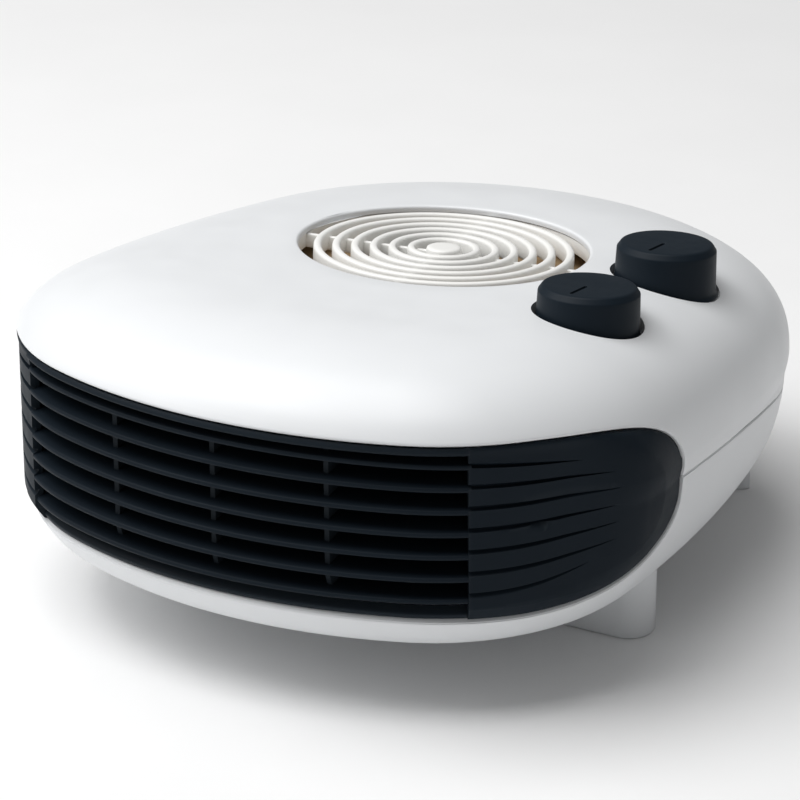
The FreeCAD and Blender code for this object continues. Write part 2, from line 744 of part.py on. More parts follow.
def slat(level):
    """One curved slat, its rear edge higher than its front edge."""
    front = S["grille_inset"] + draw_in(level)
    back = front + S["slat_depth"]
    pieces = []
    reach = 39.0
    front_span = S["front_end"]
    spans = [(-reach, -front_span), (-front_span, front_span), (front_span, reach)]
    for start, end in spans:
        arcs = outline_arcs(0.0)
        centre, radius = (arcs[0] if abs(start + end) < 1 else arcs[1])[:2]
        if start + end < -1:
            centre = Vector(-centre.x, centre.y, 0)
        near = arc_edge(centre, radius - front, start, end)
        far = arc_edge(centre, radius - back, start, end)
        far.translate(Vector(0, 0, S["slat_rise"]))
        strip = Part.makeRuledSurface(near, far)
        pieces.append(strip.extrude(Vector(0, 0, S["slat_thick"])))
    shape = pieces[0].fuse(pieces[1:])
    shape.Placement = level_frame(level - S["slat_thick"])
    half = S["window_half"] + 1.2
    return shape.common(block(-half, half, -FAR, FAR, -FAR, FAR))


def build_outlet_grille():
    """Frame with grooved cheeks, curved slats and upright ribs in one moulding."""
    face = form(S["grille_inset"])
    back = form(S["grille_inset"] + S["grille_thick"])
    behind = form(S["wall"] + S["gap"])
    window = outlet_tool(-S["window_rail"], S["window_half"])
    cheeks = face.cut(back).cut(window).common(outlet_tool(-S["gap"]))
    for tool in groove_tools():
        cheeks = cheeks.cut(tool)
    flange = behind.cut(back).cut(window).common(outlet_tool(S["grille_flange"]))
    grille = cheeks.fuse(flange)
    for i in range(int(S["slat_count"])):
        grille = grille.fuse(slat(S["slat_top_z"] - i * S["slat_pitch"]))
    depth = form(S["rib_front"]).cut(form(S["rib_back"]))
    thin = S["rib_thick"] / 2
    for i in (-1, 0, 1):
        middle = i * S["rib_pitch"]
        slice_box = block(middle - thin, middle + thin, -FAR, -80, -FAR, FAR)
        grille = grille.fuse(depth.common(slice_box).common(outlet_tool(1.0)))
    shape_node("outlet_grille", grille)


# ---------- intake grille ----------

def build_intake_grille():
    body = new_body("intake_grille")
    floor = "- ring_sink - ring_height"
    spoke_top = "- ring_sink - ring_height + spoke_height"
    for plane in ("YZ_Plane", "XZ_Plane"):
        sketch = new_sketch(body, plane)
        draw_box(sketch, "- collar_inner - spoke_width", "collar_inner + spoke_width",
                 floor, spoke_top)
        pad(body, sketch, "spoke_width", centred=True)
    collar = new_sketch(body, "XZ_Plane")
    draw_box(collar, "collar_inner", "collar_outer", floor, "collar_top")
    turn(body, collar)
    for i in range(int(S["ring_count"])):
        outer = "ring_outer" + " - ring_pitch" * i
        inner = outer + " - ring_thick"
        ring = new_sketch(body, "XZ_Plane")
        draw_loop(ring, [
            (inner, floor), (outer, floor),
            (outer, "- ring_sink - ring_round"),
            (outer + " - ring_round", "- ring_sink"),
            (inner + " + ring_round", "- ring_sink"),
            (inner, "- ring_sink - ring_round"),
        ])
        turn(body, ring)
    hub = new_sketch(body, "XZ_Plane")
    draw_loop(hub, [
        ("", floor), ("hub_radius", floor),
        ("hub_radius", "- ring_sink - ring_round"),
        ("hub_radius - ring_round", "- ring_sink"), ("", "- ring_sink"),
    ])
    turn(body, hub)
    node(body, on_deck(0, 0, 0, S["spoke_turn"]))


# ---------- controls ----------

def build_knob(label, x, y, base):
    body = new_body(label)
    profile = new_sketch(body, "XZ_Plane")
    draw_loop(profile, [
        ("spindle_radius + fit", ""), ("knob_flare", ""),
        ("knob_skirt", "knob_flare_height"),
        ("knob_bevel_radius", "knob_height - knob_bevel"),
        ("knob_face", "knob_height"), ("", "knob_height"),
        ("", "knob_height - knob_bevel - mark_half"),
        ("spindle_radius + fit", "knob_height - knob_bevel - mark_half"),
    ])
    turn(body, profile)
    mark = new_sketch(body, "XY_Plane", "knob_height - mark_depth")
    draw_box(mark, "- mark_half", "mark_half", "- mark_end", "- mark_start")
    pocket(body, mark, length="mark_depth", down=False)
    node(body, on_deck(x, y, base))


def build_spindle(label, x, y, base):
    body = new_body(label)
    sketch = new_sketch(body, "XY_Plane")
    draw_circle(sketch, "", "", "spindle_radius")
    pad(body, sketch, "spindle_length")
    node(body, on_deck(x, y, base + S["spindle_top"] - S["spindle_length"]))


def control_shape(height):
    """Switch or thermostat: square body, round neck, ears and tags."""
    side = S["control_side"] / 2
    depth = S["control_depth"]
    neck_height = S["boss_height"] + S["cup_wall"]
    shape = block(-side, side, -side * 0.62, side * 0.62, -depth, 0)
    ears = block(-4, 4, -S["boss_offset"] - 3, S["boss_offset"] + 3, -S["control_ear"], 0)
    shape = shape.fuse(ears)
    shape = shape.fuse(rod(S["bush_radius"], at(0, 0, -1), neck_height + 1))
    for x in (-8, 0, 8):
        shape = shape.fuse(block(x - 2.4, x + 2.4, -0.4, 0.4, -depth - height, -depth + 1))
    shape = shape.cut(rod(S["spindle_radius"] + S["fit"], at(0, 0, -8), 40))
    hole = S["small_screw"] + 0.2
    for y in (-S["boss_offset"], S["boss_offset"]):
        shape = shape.cut(rod(hole, at(0, y, -30), 40))
    return shape


def build_controls():
    names = ("thermostat", "selector_switch")
    knobs = ("thermostat_knob", "selector_knob")
    spindles = ("thermostat_spindle", "selector_spindle")
    tags = (5.0, 6.0)
    screws = []
    for i, (x, y, base) in enumerate(knob_spots()):
        build_knob(knobs[i], x, y, base)
        build_spindle(spindles[i], x, y, base)
        top = base - S["well_clear"] - S["cup_wall"] - S["boss_height"] - S["fit"]
        shape = control_shape(tags[i])
        shape.Placement = on_deck(x, y, top)
        shape_node(names[i], shape)
        for bx, by in boss_spots(x, y):
            low = top - S["control_ear"] - S["fit"]
            screws.append(on_deck(bx, by, low).multiply(at(0, 0, 0, 180, Vector(1, 0, 0))))
    screw_set("control_screws", "small_screw", "small_head", "control_screw_length", screws)


def screw_set(label, shank, head, length, frames):
    """Identical cross-head screws; each frame sits under the head, shank down."""
    body = new_body(label + "_master")
    profile = new_sketch(body, "XZ_Plane")
    draw_loop(profile, [
        ("", "head_height"), ("", "- " + length), (shank, "- " + length),
        (shank, ""), (head, ""), (head, "head_round"),
        (shank, "head_height"),
    ])
    turn(body, profile)
    cross = new_sketch(body, "XY_Plane", "head_round")
    draw_box(cross, "- recess_half", "recess_half", "- recess_length", "recess_length")
    pocket(body, cross, length="head_height", down=False)
    copies(label, body, frames)


# ---------- fan and motor ----------

def build_impeller():
    body = new_body("fan_impeller")
    plate = new_sketch(body, "XZ_Plane")
    draw_loop(plate, [
        ("shaft_radius + fit", "fan_bottom"), ("fan_radius", "fan_bottom"),
        ("fan_radius", "fan_bottom + fan_plate"), ("fan_hub", "fan_bottom + fan_plate"),
        ("fan_hub", "fan_bottom + fan_hub_height"),
        ("shaft_radius + fit", "fan_bottom + fan_hub_height"),
    ])
    turn(body, plate)
    blade = new_sketch(body, "XY_Plane", "fan_bottom")
    draw_loop(blade, [
        ("fan_inner", ""), ("fan_middle", "blade_bow"), ("fan_radius - fit", "blade_lean"),
        ("fan_radius - fit", "blade_lean + blade_thick"),
        ("fan_middle", "blade_bow + blade_thick"), ("fan_inner", "blade_thick"),
    ])
    vane = pad(body, blade, "- fan_bottom + fan_top")
    repeat_round(body, vane, "fan_blades")
    rim = new_sketch(body, "XZ_Plane")
    draw_box(rim, "fan_radius - fan_ring - fan_ring", "fan_radius",
             "fan_top - fan_ring", "fan_top")
    turn(body, rim)
    node(body, on_deck(0, 0, 0))


def build_shaft():
    body = new_body("motor_shaft")
    sketch = new_sketch(body, "XY_Plane", "shaft_bottom")
    draw_circle(sketch, "", "", "shaft_radius")
    pad(body, sketch, "- shaft_bottom + fan_bottom + fan_hub_height")
    node(body, on_deck(0, 0, 0))


def build_rotor():
    body = new_body("motor_rotor")
    sketch = new_sketch(body, "XY_Plane", "stack_top - stack_height - rotor_extra")
    draw_circle(sketch, "", "", "rotor_radius")
    draw_circle(sketch, "", "", "shaft_radius + fit")
    pad(body, sketch, "stack_height + rotor_extra + rotor_extra")
    node(body, on_deck(0, 0, 0))


def build_stator():
    body = new_body("stator_laminations")
    sketch = new_sketch(body, "XY_Plane", "stack_top - stack_height")
    draw_box(sketch, "- stack_half_x", "stack_half_x", "- stack_front", "stack_rear")
    draw_box(sketch, "- window_half_x", "window_half_x", "- window_far", "- window_near")
    draw_circle(sketch, "", "", "bore_radius")
    draw_circle(sketch, "motor_screw_x", "", "screw_radius + fit")
    draw_circle(sketch, "- motor_screw_x", "", "screw_radius + fit")
    pad(body, sketch, "stack_height")
    node(body, on_deck(0, 0, 0))


def build_coil():
    """Bobbin around the front leg of the stack, with its winding."""
    leg_middle = -(S["window_far"] + S["stack_front"]) / 2
    level = S["stack_top"] - S["stack_height"] / 2
    half_y = (S["stack_front"] - S["window_far"]) / 2 + 0.3
    half_z = S["stack_height"] / 2 + 0.3
    half_x = S["window_half_x"] - 0.6
    wall = S["bobbin_wall"]
    flange = S["bobbin_flange"]

    def sleeve(x, grow):
        return block(-x, x, -half_y - grow, half_y + grow, -half_z - grow, half_z + grow)

    build = wall + S["coil_build"]
    bobbin = sleeve(half_x, wall)
    for side in (-1, 1):
        plate = sleeve(half_x, build + 0.8)
        keep = block(half_x - flange, half_x, -FAR, FAR, -FAR, FAR)
        if side < 0:
            keep = keep.mirror(Vector(0, 0, 0), Vector(1, 0, 0))
        bobbin = bobbin.fuse(plate.common(keep))
    bobbin = bobbin.cut(sleeve(half_x + 1, 0.0))
    coil = sleeve(half_x - flange - 0.1, build).cut(sleeve(half_x, wall + 0.1))
    for label, shape in (("coil_bobbin", bobbin), ("motor_winding", coil)):
        shape.Placement = on_deck(0, leg_middle, level)
        shape_node(label, shape)


def build_bracket(label, base, direction):
    """Hat-shaped strap that carries one bearing."""
    body = new_body(label)
    sketch = new_sketch(body, "XZ_Plane")
    draw_loop(sketch, [
        ("- stack_half_x", ""), ("- bracket_foot", ""),
        ("- bracket_foot", "bracket_rise - bracket_thick"),
        ("bracket_foot", "bracket_rise - bracket_thick"), ("bracket_foot", ""),
        ("stack_half_x", ""), ("stack_half_x", "bracket_thick"),
        ("bracket_foot + bracket_thick", "bracket_thick"),
        ("bracket_foot + bracket_thick", "bracket_rise"),
        ("- bracket_foot - bracket_thick", "bracket_rise"),
        ("- bracket_foot - bracket_thick", "bracket_thick"),
        ("- stack_half_x", "bracket_thick"),
    ])
    pad(body, sketch, "bracket_width", centred=True)
    holes = new_sketch(body, "XY_Plane")
    draw_circle(holes, "", "", "bearing_radius + fit")
    draw_circle(holes, "motor_screw_x", "", "screw_radius + fit")
    draw_circle(holes, "- motor_screw_x", "", "screw_radius + fit")
    pocket(body, holes)
    flip = 0 if direction > 0 else 180
    frame = on_deck(0, 0, base).multiply(at(0, 0, 0, flip, Vector(1, 0, 0)))
    node(body, frame)


def build_bearings():
    body = new_body("motor_bearings_master")
    sketch = new_sketch(body, "XY_Plane")
    draw_circle(sketch, "", "", "bearing_radius")
    draw_circle(sketch, "", "", "shaft_radius + fit")
    pad(body, sketch, "bearing_length")
    rise = S["bracket_rise"] - S["bearing_length"]
    top = S["stack_top"] + rise
    bottom = S["stack_top"] - S["stack_height"] - rise - S["bearing_length"]
    copies("motor_bearings", body, [on_deck(0, 0, top), on_deck(0, 0, bottom)])


def build_motor():
    build_stator()
    build_coil()
    build_rotor()
    build_shaft()
    build_bracket("bearing_bracket_upper", S["stack_top"] + S["fit"], 1)
    build_bracket("bearing_bracket_lower", S["stack_top"] - S["stack_height"] - S["fit"], -1)
    build_bearings()
    build_impeller()
    under = S["stack_top"] - S["stack_height"] - S["bracket_thick"] - 2 * S["fit"]
    frames = []
    for x in (-S["motor_screw_x"], S["motor_screw_x"]):
        frames.append(on_deck(x, 0, under).multiply(at(0, 0, 0, 180, Vector(1, 0, 0))))
    screw_set("motor_screws", "screw_radius", "screw_head", "motor_screw_length", frames)


# ---------- air path ----------

def scroll_plan(grow):
    """Plan of the volute: spiral from the tongue round to the left, open to the front."""
    spots = []
    steps = 8
    for i in range(steps + 1):
        angle = S["tongue_angle"] + (180 - S["tongue_angle"]) * i / steps
        radius = S["scroll_start"] + (S["scroll_end"] - S["scroll_start"]) * i / steps + grow
        aim = math.radians(angle)
        spots.append(Vector(radius * math.cos(aim), radius * math.sin(aim), 0))
    right = Vector(S["mouth_right"] + grow, S["mouth_y"], 0)
    left = Vector(-S["scroll_end"] - grow, S["mouth_y"], 0)
    curve = Part.BSplineCurve()
    curve.interpolate(spots)
    edges = [
        Part.LineSegment(right, spots[0]).toShape(),
        curve.toShape(),
        Part.LineSegment(spots[-1], left).toShape(),
        Part.LineSegment(left, right).toShape(),
    ]
    return Part.Face(Part.Wire(edges))


def build_scroll():
    wall = S["scroll_wall"]
    height = S["cover_z"] - S["scroll_floor"]
    scroll = scroll_plan(wall).extrude(Vector(0, 0, height))
    inside = scroll_plan(0.0).extrude(Vector(0, 0, height))
    inside.translate(Vector(0, 0, wall))
    scroll = scroll.cut(inside)
    scroll = scroll.cut(rod(S["bearing_radius"] + 3, at(0, 0, -1), 10))
    for x in (-S["motor_screw_x"], S["motor_screw_x"]):
        spot = at(x, 0, -S["standoff"])
        scroll = scroll.fuse(rod(S["pillar_radius"], spot, S["standoff"] + 1))
        scroll = scroll.cut(rod(S["screw_radius"] + S["fit"], spot, S["standoff"] + 1))
    scroll.Placement = on_deck(0, 0, S["scroll_floor"])
    shape_node("scroll_housing", scroll)
    cover = scroll_plan(wall).extrude(Vector(0, 0, S["cover_thick"]))
    eye = S["eye_radius"]
    cover = cover.fuse(rod(eye + 2, at(0, 0, 0), S["cover_thick"] + 1.2))
    cover = cover.cut(rod(eye, at(0, 0, -1), 10))
    cover.Placement = on_deck(0, 0, S["cover_z"] + S["fit"])
    shape_node("scroll_cover", cover)


def mouth_wire(grow, y):
    """Rear end of the air duct, matching the mouth of the scroll."""
    slope = math.tan(math.radians(S["deck_tilt"]))
    rise = S["deck_z"] + (S["deck_y"] - y) * slope
    low = rise + S["scroll_floor"] - grow
    high = rise + S["cover_z"] + grow
    left = -S["scroll_end"] - grow
    right = S["mouth_right"] + grow
    return rectangle(left, right, low, high, y)


def rectangle(left, right, low, high, y):
    spots = [
        Vector(left, y, low), Vector(right, y, low),
        Vector(right, y, high), Vector(left, y, high), Vector(left, y, low),
    ]
    return Part.makePolygon(spots)


def build_duct():
    front = S["duct_front_y"]
    rear = S["duct_rear_y"]
    half = S["element_half_x"]
    tall = S["element_height"] / 2
    middle = S["element_z"]
    wall = S["duct_wall"]
    outer = [mouth_wire(0.0, rear), rectangle(-half, half, middle - tall, middle + tall, front)]
    inner = [
        mouth_wire(-wall, rear),
        rectangle(-half + wall, half - wall, middle - tall + wall, middle + tall - wall, front),
    ]
    duct = Part.makeLoft(outer, True, True).cut(Part.makeLoft(inner, True, True))
    shape_node("air_duct", duct)


# ---------- heating element ----------

def build_element():
    body = new_body("element_frame")
    sketch = new_sketch(body, "XZ_Plane")
    draw_box(sketch, "- element_half_x", "element_half_x",
             "element_z - element_half_z", "element_z + element_half_z")
    draw_box(sketch, "- element_half_x + sheet_thick", "element_half_x - sheet_thick",
             "element_z - element_half_z + sheet_thick",
             "element_z + element_half_z - sheet_thick")
    pad(body, sketch, "element_depth", centred=True)
    node(body, at(0, S["element_y"], 0))
    build_boards()
    build_ribbons()


def ribbon_levels():
    middle = (S["ribbon_rows"] - 1) / 2
    return [S["element_z"] + (i - middle) * S["ribbon_pitch"] for i in range(S["ribbon_rows"])]


def build_boards():
    inner = S["element_height"] / 2 - S["sheet_thick"] - 0.1
    half_y = S["element_depth"] / 2 - 1
    boards = []
    for i in (-1.5, -0.5, 0.5, 1.5):
        x = i * S["board_pitch"]
        z = S["element_z"]
        thin = S["board_thick"] / 2
        board = block(x - thin, x + thin, -half_y, half_y, z - inner, z + inner)
        for level in ribbon_levels():
            slot = S["board_slot"] / 2
            wide = S["ribbon_width"] / 2 + 0.4
            board = board.cut(block(x - 2, x + 2, -wide, wide, level - slot, level + slot))
        board.translate(Vector(0, S["element_y"], 0))
        boards.append(board)
    shape_node("mica_boards", Part.makeCompound(boards))


def build_ribbons():
    """Corrugated resistance ribbons running across the element."""
    half = S["ribbon_half"]
    steps = int(2 * half / S["ribbon_step"])
    ribbons = []
    for level in ribbon_levels():
        top = []
        for i in range(steps + 1):
            swing = S["ribbon_wave"] / 2 * (1 if i % 2 else -1)
            top.append(Vector(-half + i * S["ribbon_step"], 0, level + swing))
        drop = Vector(0, 0, -S["ribbon_thick"])
        low = [spot + drop for spot in reversed(top)]
        face = Part.Face(Part.makePolygon(top + low + [top[0]]))
        ribbon = face.extrude(Vector(0, S["ribbon_width"], 0))
        ribbon.translate(Vector(0, S["element_y"] - S["ribbon_width"] / 2, 0))
        ribbons.append(ribbon)
    shape_node("heating_ribbons", Part.makeCompound(ribbons))


def build_protectors():
    """Thermal cut-out and thermal fuse on top of the element frame."""
    top = S["element_z"] + S["element_height"] / 2 + S["fit"]
    y = S["element_y"]
    cutout = rod(S["cutout_radius"], at(S["board_pitch"] / 2, y, top), S["cutout_height"])
    for side in (-1, 1):
        x = S["board_pitch"] / 2 + side * (S["cutout_radius"] + 2)
        cutout = cutout.fuse(block(x - 4, x + 4, y - 2.5, y + 2.5, top + 1.0, top + 1.8))
    shape_node("thermal_cutout", cutout)
    level = top + S["fuse_radius"] + 0.6
    along = Vector(0, 1, 0)
    start = -S["board_pitch"] / 2
    fuse = rod(S["fuse_radius"], at(start, y, level, 90, along), S["fuse_length"])
    lead = rod(S["fuse_radius"] / 4, at(start - 8, y, level, 90, along), S["fuse_length"] + 16)
    shape_node("thermal_fuse", fuse.fuse(lead))


# ---------- cord inlet and terminals ----------

def build_inlet():
    """Grommet that lines the cord inlet."""
    body = new_body("cord_grommet")
    sleeve = new_sketch(body, "XY_Plane", "fit")
    draw_circle(sleeve, "", "", "gland_hole - gap")
    draw_circle(sleeve, "", "", "gland_bore")
    pad(body, sleeve, "gland_depth", down=True)
    flange = new_sketch(body, "XY_Plane", "fit")
    draw_circle(flange, "", "", "gland_flange")
    draw_circle(flange, "", "", "gland_bore")
    pad(body, flange, "gland_lip")
    node(body, at(0, S["gland_y"], S["gland_z"], -90, Vector(1, 0, 0)))


def build_terminals():
    level = S["floor_z"] + S["wall"] + S["pillar_height"] + S["fit"]
    body = new_body("cord_clamp")
    sketch = new_sketch(body, "XY_Plane")
    draw_box(sketch, "- clamp_half", "clamp_half", "- clamp_half_width", "clamp_half_width")
    draw_circle(sketch, "clamp_screw_x", "", "small_screw + fit")
    draw_circle(sketch, "- clamp_screw_x", "", "small_screw + fit")
    pad(body, sketch, "clamp_height")
    node(body, at(0, S["clamp_y"], level))
    half = S["terminal_length"] / 2
    deep = S["terminal_depth"] / 2
    block_shape = block(-half, half, -deep, deep, 0, S["terminal_height"])
    for x in (-12, 0, 12):
        block_shape = block_shape.cut(rod(2.2, at(x, 0, 6), 20))
        tunnel = rod(1.8, at(x, -20, 5, -90, Vector(1, 0, 0)), 40)
        block_shape = block_shape.cut(tunnel)
    for x in (-S["clamp_screw_x"], S["clamp_screw_x"]):
        block_shape = block_shape.cut(rod(S["small_head"] + 0.3, at(x, 0, S["clamp_height"]), 20))
        block_shape = block_shape.cut(rod(S["small_screw"] + S["fit"], at(x, 0, -1), 20))
    block_shape.Placement = at(0, S["terminal_y"], level)
    shape_node("terminal_block", block_shape)
    frames = []
    for x in (-S["clamp_screw_x"], S["clamp_screw_x"]):
        for y in (S["clamp_y"], S["terminal_y"]):
            frames.append(at(x, y, level + S["clamp_height"] + S["fit"]))
    screw_set("clamp_screws", "small_screw", "small_head", "clamp_screw_length", frames)


def build_case_screws():
    frames = []
    for x, y in case_posts():
        seat = parting_height(y) - S["screw_grip"] - S["fit"]
        frames.append(at(x, y, seat, 180, Vector(1, 0, 0)))
    screw_set("case_screws", "screw_radius", "screw_head", "case_screw_length", frames)


# ---------- assembly and export ----------

build_case()
build_outlet_grille()
build_intake_grille()
build_controls()
build_motor()
build_scroll()
build_duct()
build_element()
build_protectors()
build_inlet()
build_terminals()
build_case_screws()
DOC.recompute()

for item in DOC.Objects:
    if "Invalid" in item.State or "Error" in item.State:
        raise RuntimeError("object in error: " + item.Label)

os.makedirs("parts", exist_ok=True)
for item in NODES:
    shape = item.Shape
    if shape.isNull() or not shape.isValid():
        raise RuntimeError("bad shape: " + item.Label)
    shape.exportStep("parts/%s.step" % item.Label)
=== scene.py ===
import json
import math

import bmesh
import bpy
import numpy as np
from mathutils import Matrix, Vector
from mathutils.bvhtree import BVHTree


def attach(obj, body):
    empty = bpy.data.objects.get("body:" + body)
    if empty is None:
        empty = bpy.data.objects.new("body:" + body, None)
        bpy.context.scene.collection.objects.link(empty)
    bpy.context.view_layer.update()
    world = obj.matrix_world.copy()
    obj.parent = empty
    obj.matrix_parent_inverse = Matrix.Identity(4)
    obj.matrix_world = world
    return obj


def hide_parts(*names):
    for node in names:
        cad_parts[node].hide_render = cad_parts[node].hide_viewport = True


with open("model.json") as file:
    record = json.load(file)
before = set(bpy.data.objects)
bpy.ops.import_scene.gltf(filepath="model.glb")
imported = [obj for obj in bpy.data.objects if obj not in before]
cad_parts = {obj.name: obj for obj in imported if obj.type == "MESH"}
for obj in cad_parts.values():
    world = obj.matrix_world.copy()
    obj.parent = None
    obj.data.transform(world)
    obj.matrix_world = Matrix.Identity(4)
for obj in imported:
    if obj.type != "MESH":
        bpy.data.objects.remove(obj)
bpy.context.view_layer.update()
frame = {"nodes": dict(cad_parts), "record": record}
NODES = frame["nodes"]
MM = 0.001

# ---------- case form, in millimetres ----------

FRONT_Y = -144.9
RADII = (182.8, 87.9, 450.4)
ENDS = (21.8, 89.2, 103.0)
DECK_Y, DECK_Z, TILT = 16.1, 110.75, math.radians(5.6)
WAIST, CHINE, FLOOR = 72.8, 65.4, 23.9
SHOULDER, SHOULDER_POWER = 66.0, 2.47
CHINE_IN, BILGE, BILGE_POWER = 1.4, 21.5, 2.2
WALL = 2.2
PART_R, PART_Y, PART_Z = 790.0, -57.6, 68.2
SEAM = 0.2


def outline_arcs():
    """Tangent arcs of the plan outline's right half: centre, radius, start and end direction."""
    centre = np.array([0.0, FRONT_Y + RADII[0]])
    arcs, start, reach = [], 0.0, 0.0
    for i, end in enumerate(ENDS):
        radius = RADII[i]
        arcs.append((centre.copy(), radius, start, end))
        reach += radius * (math.sin(math.radians(end)) - math.sin(math.radians(start)))
        last = RADII[i + 1] if i < 2 else reach / math.sin(math.radians(end))
        aim = np.array([math.sin(math.radians(end)), -math.cos(math.radians(end))])
        centre = centre + aim * (radius - last)
        start = end
    arcs.append((centre.copy(), last, start, 180.0))
    return arcs


ARCS = outline_arcs()


def radius_at(theta):
    """Plan radius of the outline at a direction from 0 to 180 degrees."""
    for _, radius, _, end in ARCS:
        if theta < end:
            break
    return radius


def outline(theta, inset):
    """Plan point at an outline direction in degrees, -180 to 180."""
    side = -1.0 if theta < 0 else 1.0
    t = abs(theta)
    for centre, radius, _, end in ARCS:
        if t <= end + 1e-9:
            break
    a = math.radians(t)
    r = radius - inset
    return side * (centre[0] + r * math.sin(a)), centre[1] - r * math.cos(a)


def lean(x, y, level):
    """Point at a plan spot on a level, each level tilted by its share of the deck's slope."""
    share = (level - FLOOR) / (DECK_Z - FLOOR)
    a = math.atan(share * math.tan(TILT))
    away = y - DECK_Y
    return Vector((x, DECK_Y + away * math.cos(a), level - away * math.sin(a)))


def profile(s, w):
    """Level and draw-in along the profile: s -1 underside edge, 0 chine, 1 waist, 2 top edge."""
    top, bottom = DECK_Z - w, FLOOR + w
    if s < 0:
        share = math.sin(-s * math.pi / 2) ** (2 / BILGE_POWER)
        curve = 1 - math.sqrt(max(0.0, 1 - share ** BILGE_POWER))
        return CHINE - share * (CHINE - bottom), CHINE_IN * (1 + 1.2 * share) + BILGE * curve + w
    if s < 1:
        return CHINE + s * (WAIST - CHINE), CHINE_IN * (1 - s) ** 1.5 + w
    share = math.sin((s - 1) * math.pi / 2) ** (2 / SHOULDER_POWER)
    drop = SHOULDER * (1 - max(0.0, 1 - share ** SHOULDER_POWER) ** (1 / SHOULDER_POWER))
    return WAIST + share * (top - WAIST), drop + w


def skin(theta, s, w=0.0):
    """Point of the case form, w mm below its surface."""
    level, draw = profile(s, w)
    x, y = outline(theta, draw)
    return lean(x, y, level)


def deck(x, y, z):
    """Point given in the sloping deck's own frame."""
    c, n = math.cos(TILT), math.sin(TILT)
    return Vector((x, DECK_Y + y * c + z * n, DECK_Z - y * n + z * c))


def parting(y):
    """Height of the line where the case halves meet."""
    return PART_Z - PART_R + math.sqrt(PART_R ** 2 - (y - PART_Y) ** 2)


def bezier(p, n):
    """Points along a cubic curve through four control points."""
    t = np.linspace(0, 1, n)[:, None]
    p = np.array(p, float)
    ends = (1 - t) ** 3 * p[0] + 3 * (1 - t) ** 2 * t * p[1]
    return ends + 3 * (1 - t) * t ** 2 * p[2] + t ** 3 * p[3]


def outlet_polygon(grow):
    """Side view of the outlet opening, grown by a distance."""
    end, low, high = -35.6 + grow, 36.2 - grow, 100.6 + grow
    lower = bezier([(-100, low), (end - 24.4, low + 0.6), (end, low + 9.8), (end, 62.2)], 40)
    upper = bezier([(end, 64.2), (end, 85.2), (end - 12.4, high - 3.6), (-100, high)], 40)
    ahead = FRONT_Y - 20.0
    return np.vstack([(ahead, 38.2 - grow), lower, upper, (ahead, 103.3 + grow)])


OUTLET = outlet_polygon(0.0)


def outlet_distance(y, z, polygon=OUTLET):
    """Signed distance to the outlet's side-view outline, negative inside."""
    a = polygon
    b = np.roll(a, -1, 0)
    d = b - a
    q = np.array([y, z]) - a
    t = np.clip((q * d).sum(1) / np.maximum((d * d).sum(1), 1e-9), 0, 1)
    near = np.sqrt(((q - t[:, None] * d) ** 2).sum(1)).min()
    inside = False
    for (y0, z0), (y1, z1) in zip(a, b):
        if (z0 > z) != (z1 > z) and y < (y1 - y0) * (z - z0) / (z1 - z0) + y0:
            inside = not inside
    return -near if inside else near


def above_value(p):
    """Positive where the upper case half is."""
    return min(p.z - parting(p.y) - SEAM, outlet_distance(p.y, p.z))


def below_value(p):
    """Positive where the lower case half is."""
    return min(parting(p.y) - SEAM - p.z, outlet_distance(p.y, p.z))


def boundary(theta, value, start, stop, steps=90):
    """Profile position, from start towards stop, where a column's value turns negative."""
    for i in range(1, steps + 1):
        s = start + (stop - start) * i / steps
        if value(skin(theta, s)) < 0:
            low, high = start + (stop - start) * (i - 1) / steps, s
            for _ in range(18):
                mid = (low + high) / 2
                if value(skin(theta, mid)) < 0:
                    high = mid
                else:
                    low = mid
            return low
    return stop


OUTLET_END_Y, FINE_REACH = -45.5, 12.0
FINE_STEP, WIDE_STEP, STEP_GROWTH = 0.45, 3.2, 0.055


def directions():
    """Outline directions: even steps along the outline, finer beside the outlet's end."""
    half, t = [], 0.0
    while t < 180.0:
        half.append(t)
        beside = abs(outline(t, 0.0)[1] - OUTLET_END_Y)
        step = min(WIDE_STEP, FINE_STEP + STEP_GROWTH * max(0.0, beside - FINE_REACH))
        t = t + math.degrees(step / radius_at(t))
    return [-a for a in reversed(half[1:])] + half + [180.0]


COLUMNS = directions()


def travel(theta, s0, distance, sign):
    """Move along a column by a distance in mm."""
    s, gone, p = s0, 0.0, skin(theta, s0)
    step = 0.004 * sign
    for _ in range(400):
        q = skin(theta, s + step)
        gone += (q - p).length
        if gone >= distance:
            return s + step
        s, p = s + step, q
    return s


# ---------- mesh helpers ----------

def new_object(name, vertices, faces, smooth=40.0):
    """Object from vertices in millimetres."""
    mesh = bpy.data.meshes.new(name)
    mesh.from_pydata([tuple(Vector(v) * MM) for v in vertices], [], faces)
    mesh.validate()
    obj = bpy.data.objects.new(name, mesh)
    bpy.context.scene.collection.objects.link(obj)
    tidy(obj, smooth)
    return obj


def tidy(obj, smooth=40.0):
    """Outward faces, smooth shading with sharp creases kept."""
    work = bmesh.new()
    work.from_mesh(obj.data)
    bmesh.ops.remove_doubles(work, verts=work.verts, dist=1e-6)
    bmesh.ops.recalc_face_normals(work, faces=work.faces)
    limit = math.radians(smooth)
    for edge in work.edges:
        if len(edge.link_faces) == 2:
            edge.smooth = edge.calc_face_angle(0.0) < limit
    for face in work.faces:
        face.smooth = True
    work.to_mesh(obj.data)
    work.free()


def grid_faces(rows, columns, wrap_rows=True, wrap_columns=True, offset=0):
    """Quads between neighbouring rows of a vertex grid."""
    faces = []
    for i in range(rows if wrap_rows else rows - 1):
        for j in range(columns if wrap_columns else columns - 1):
            a, b = i, (i + 1) % rows
            c, d = j, (j + 1) % columns
            faces.append((offset + a * columns + c, offset + a * columns + d,
                          offset + b * columns + d, offset + b * columns + c))
    return faces


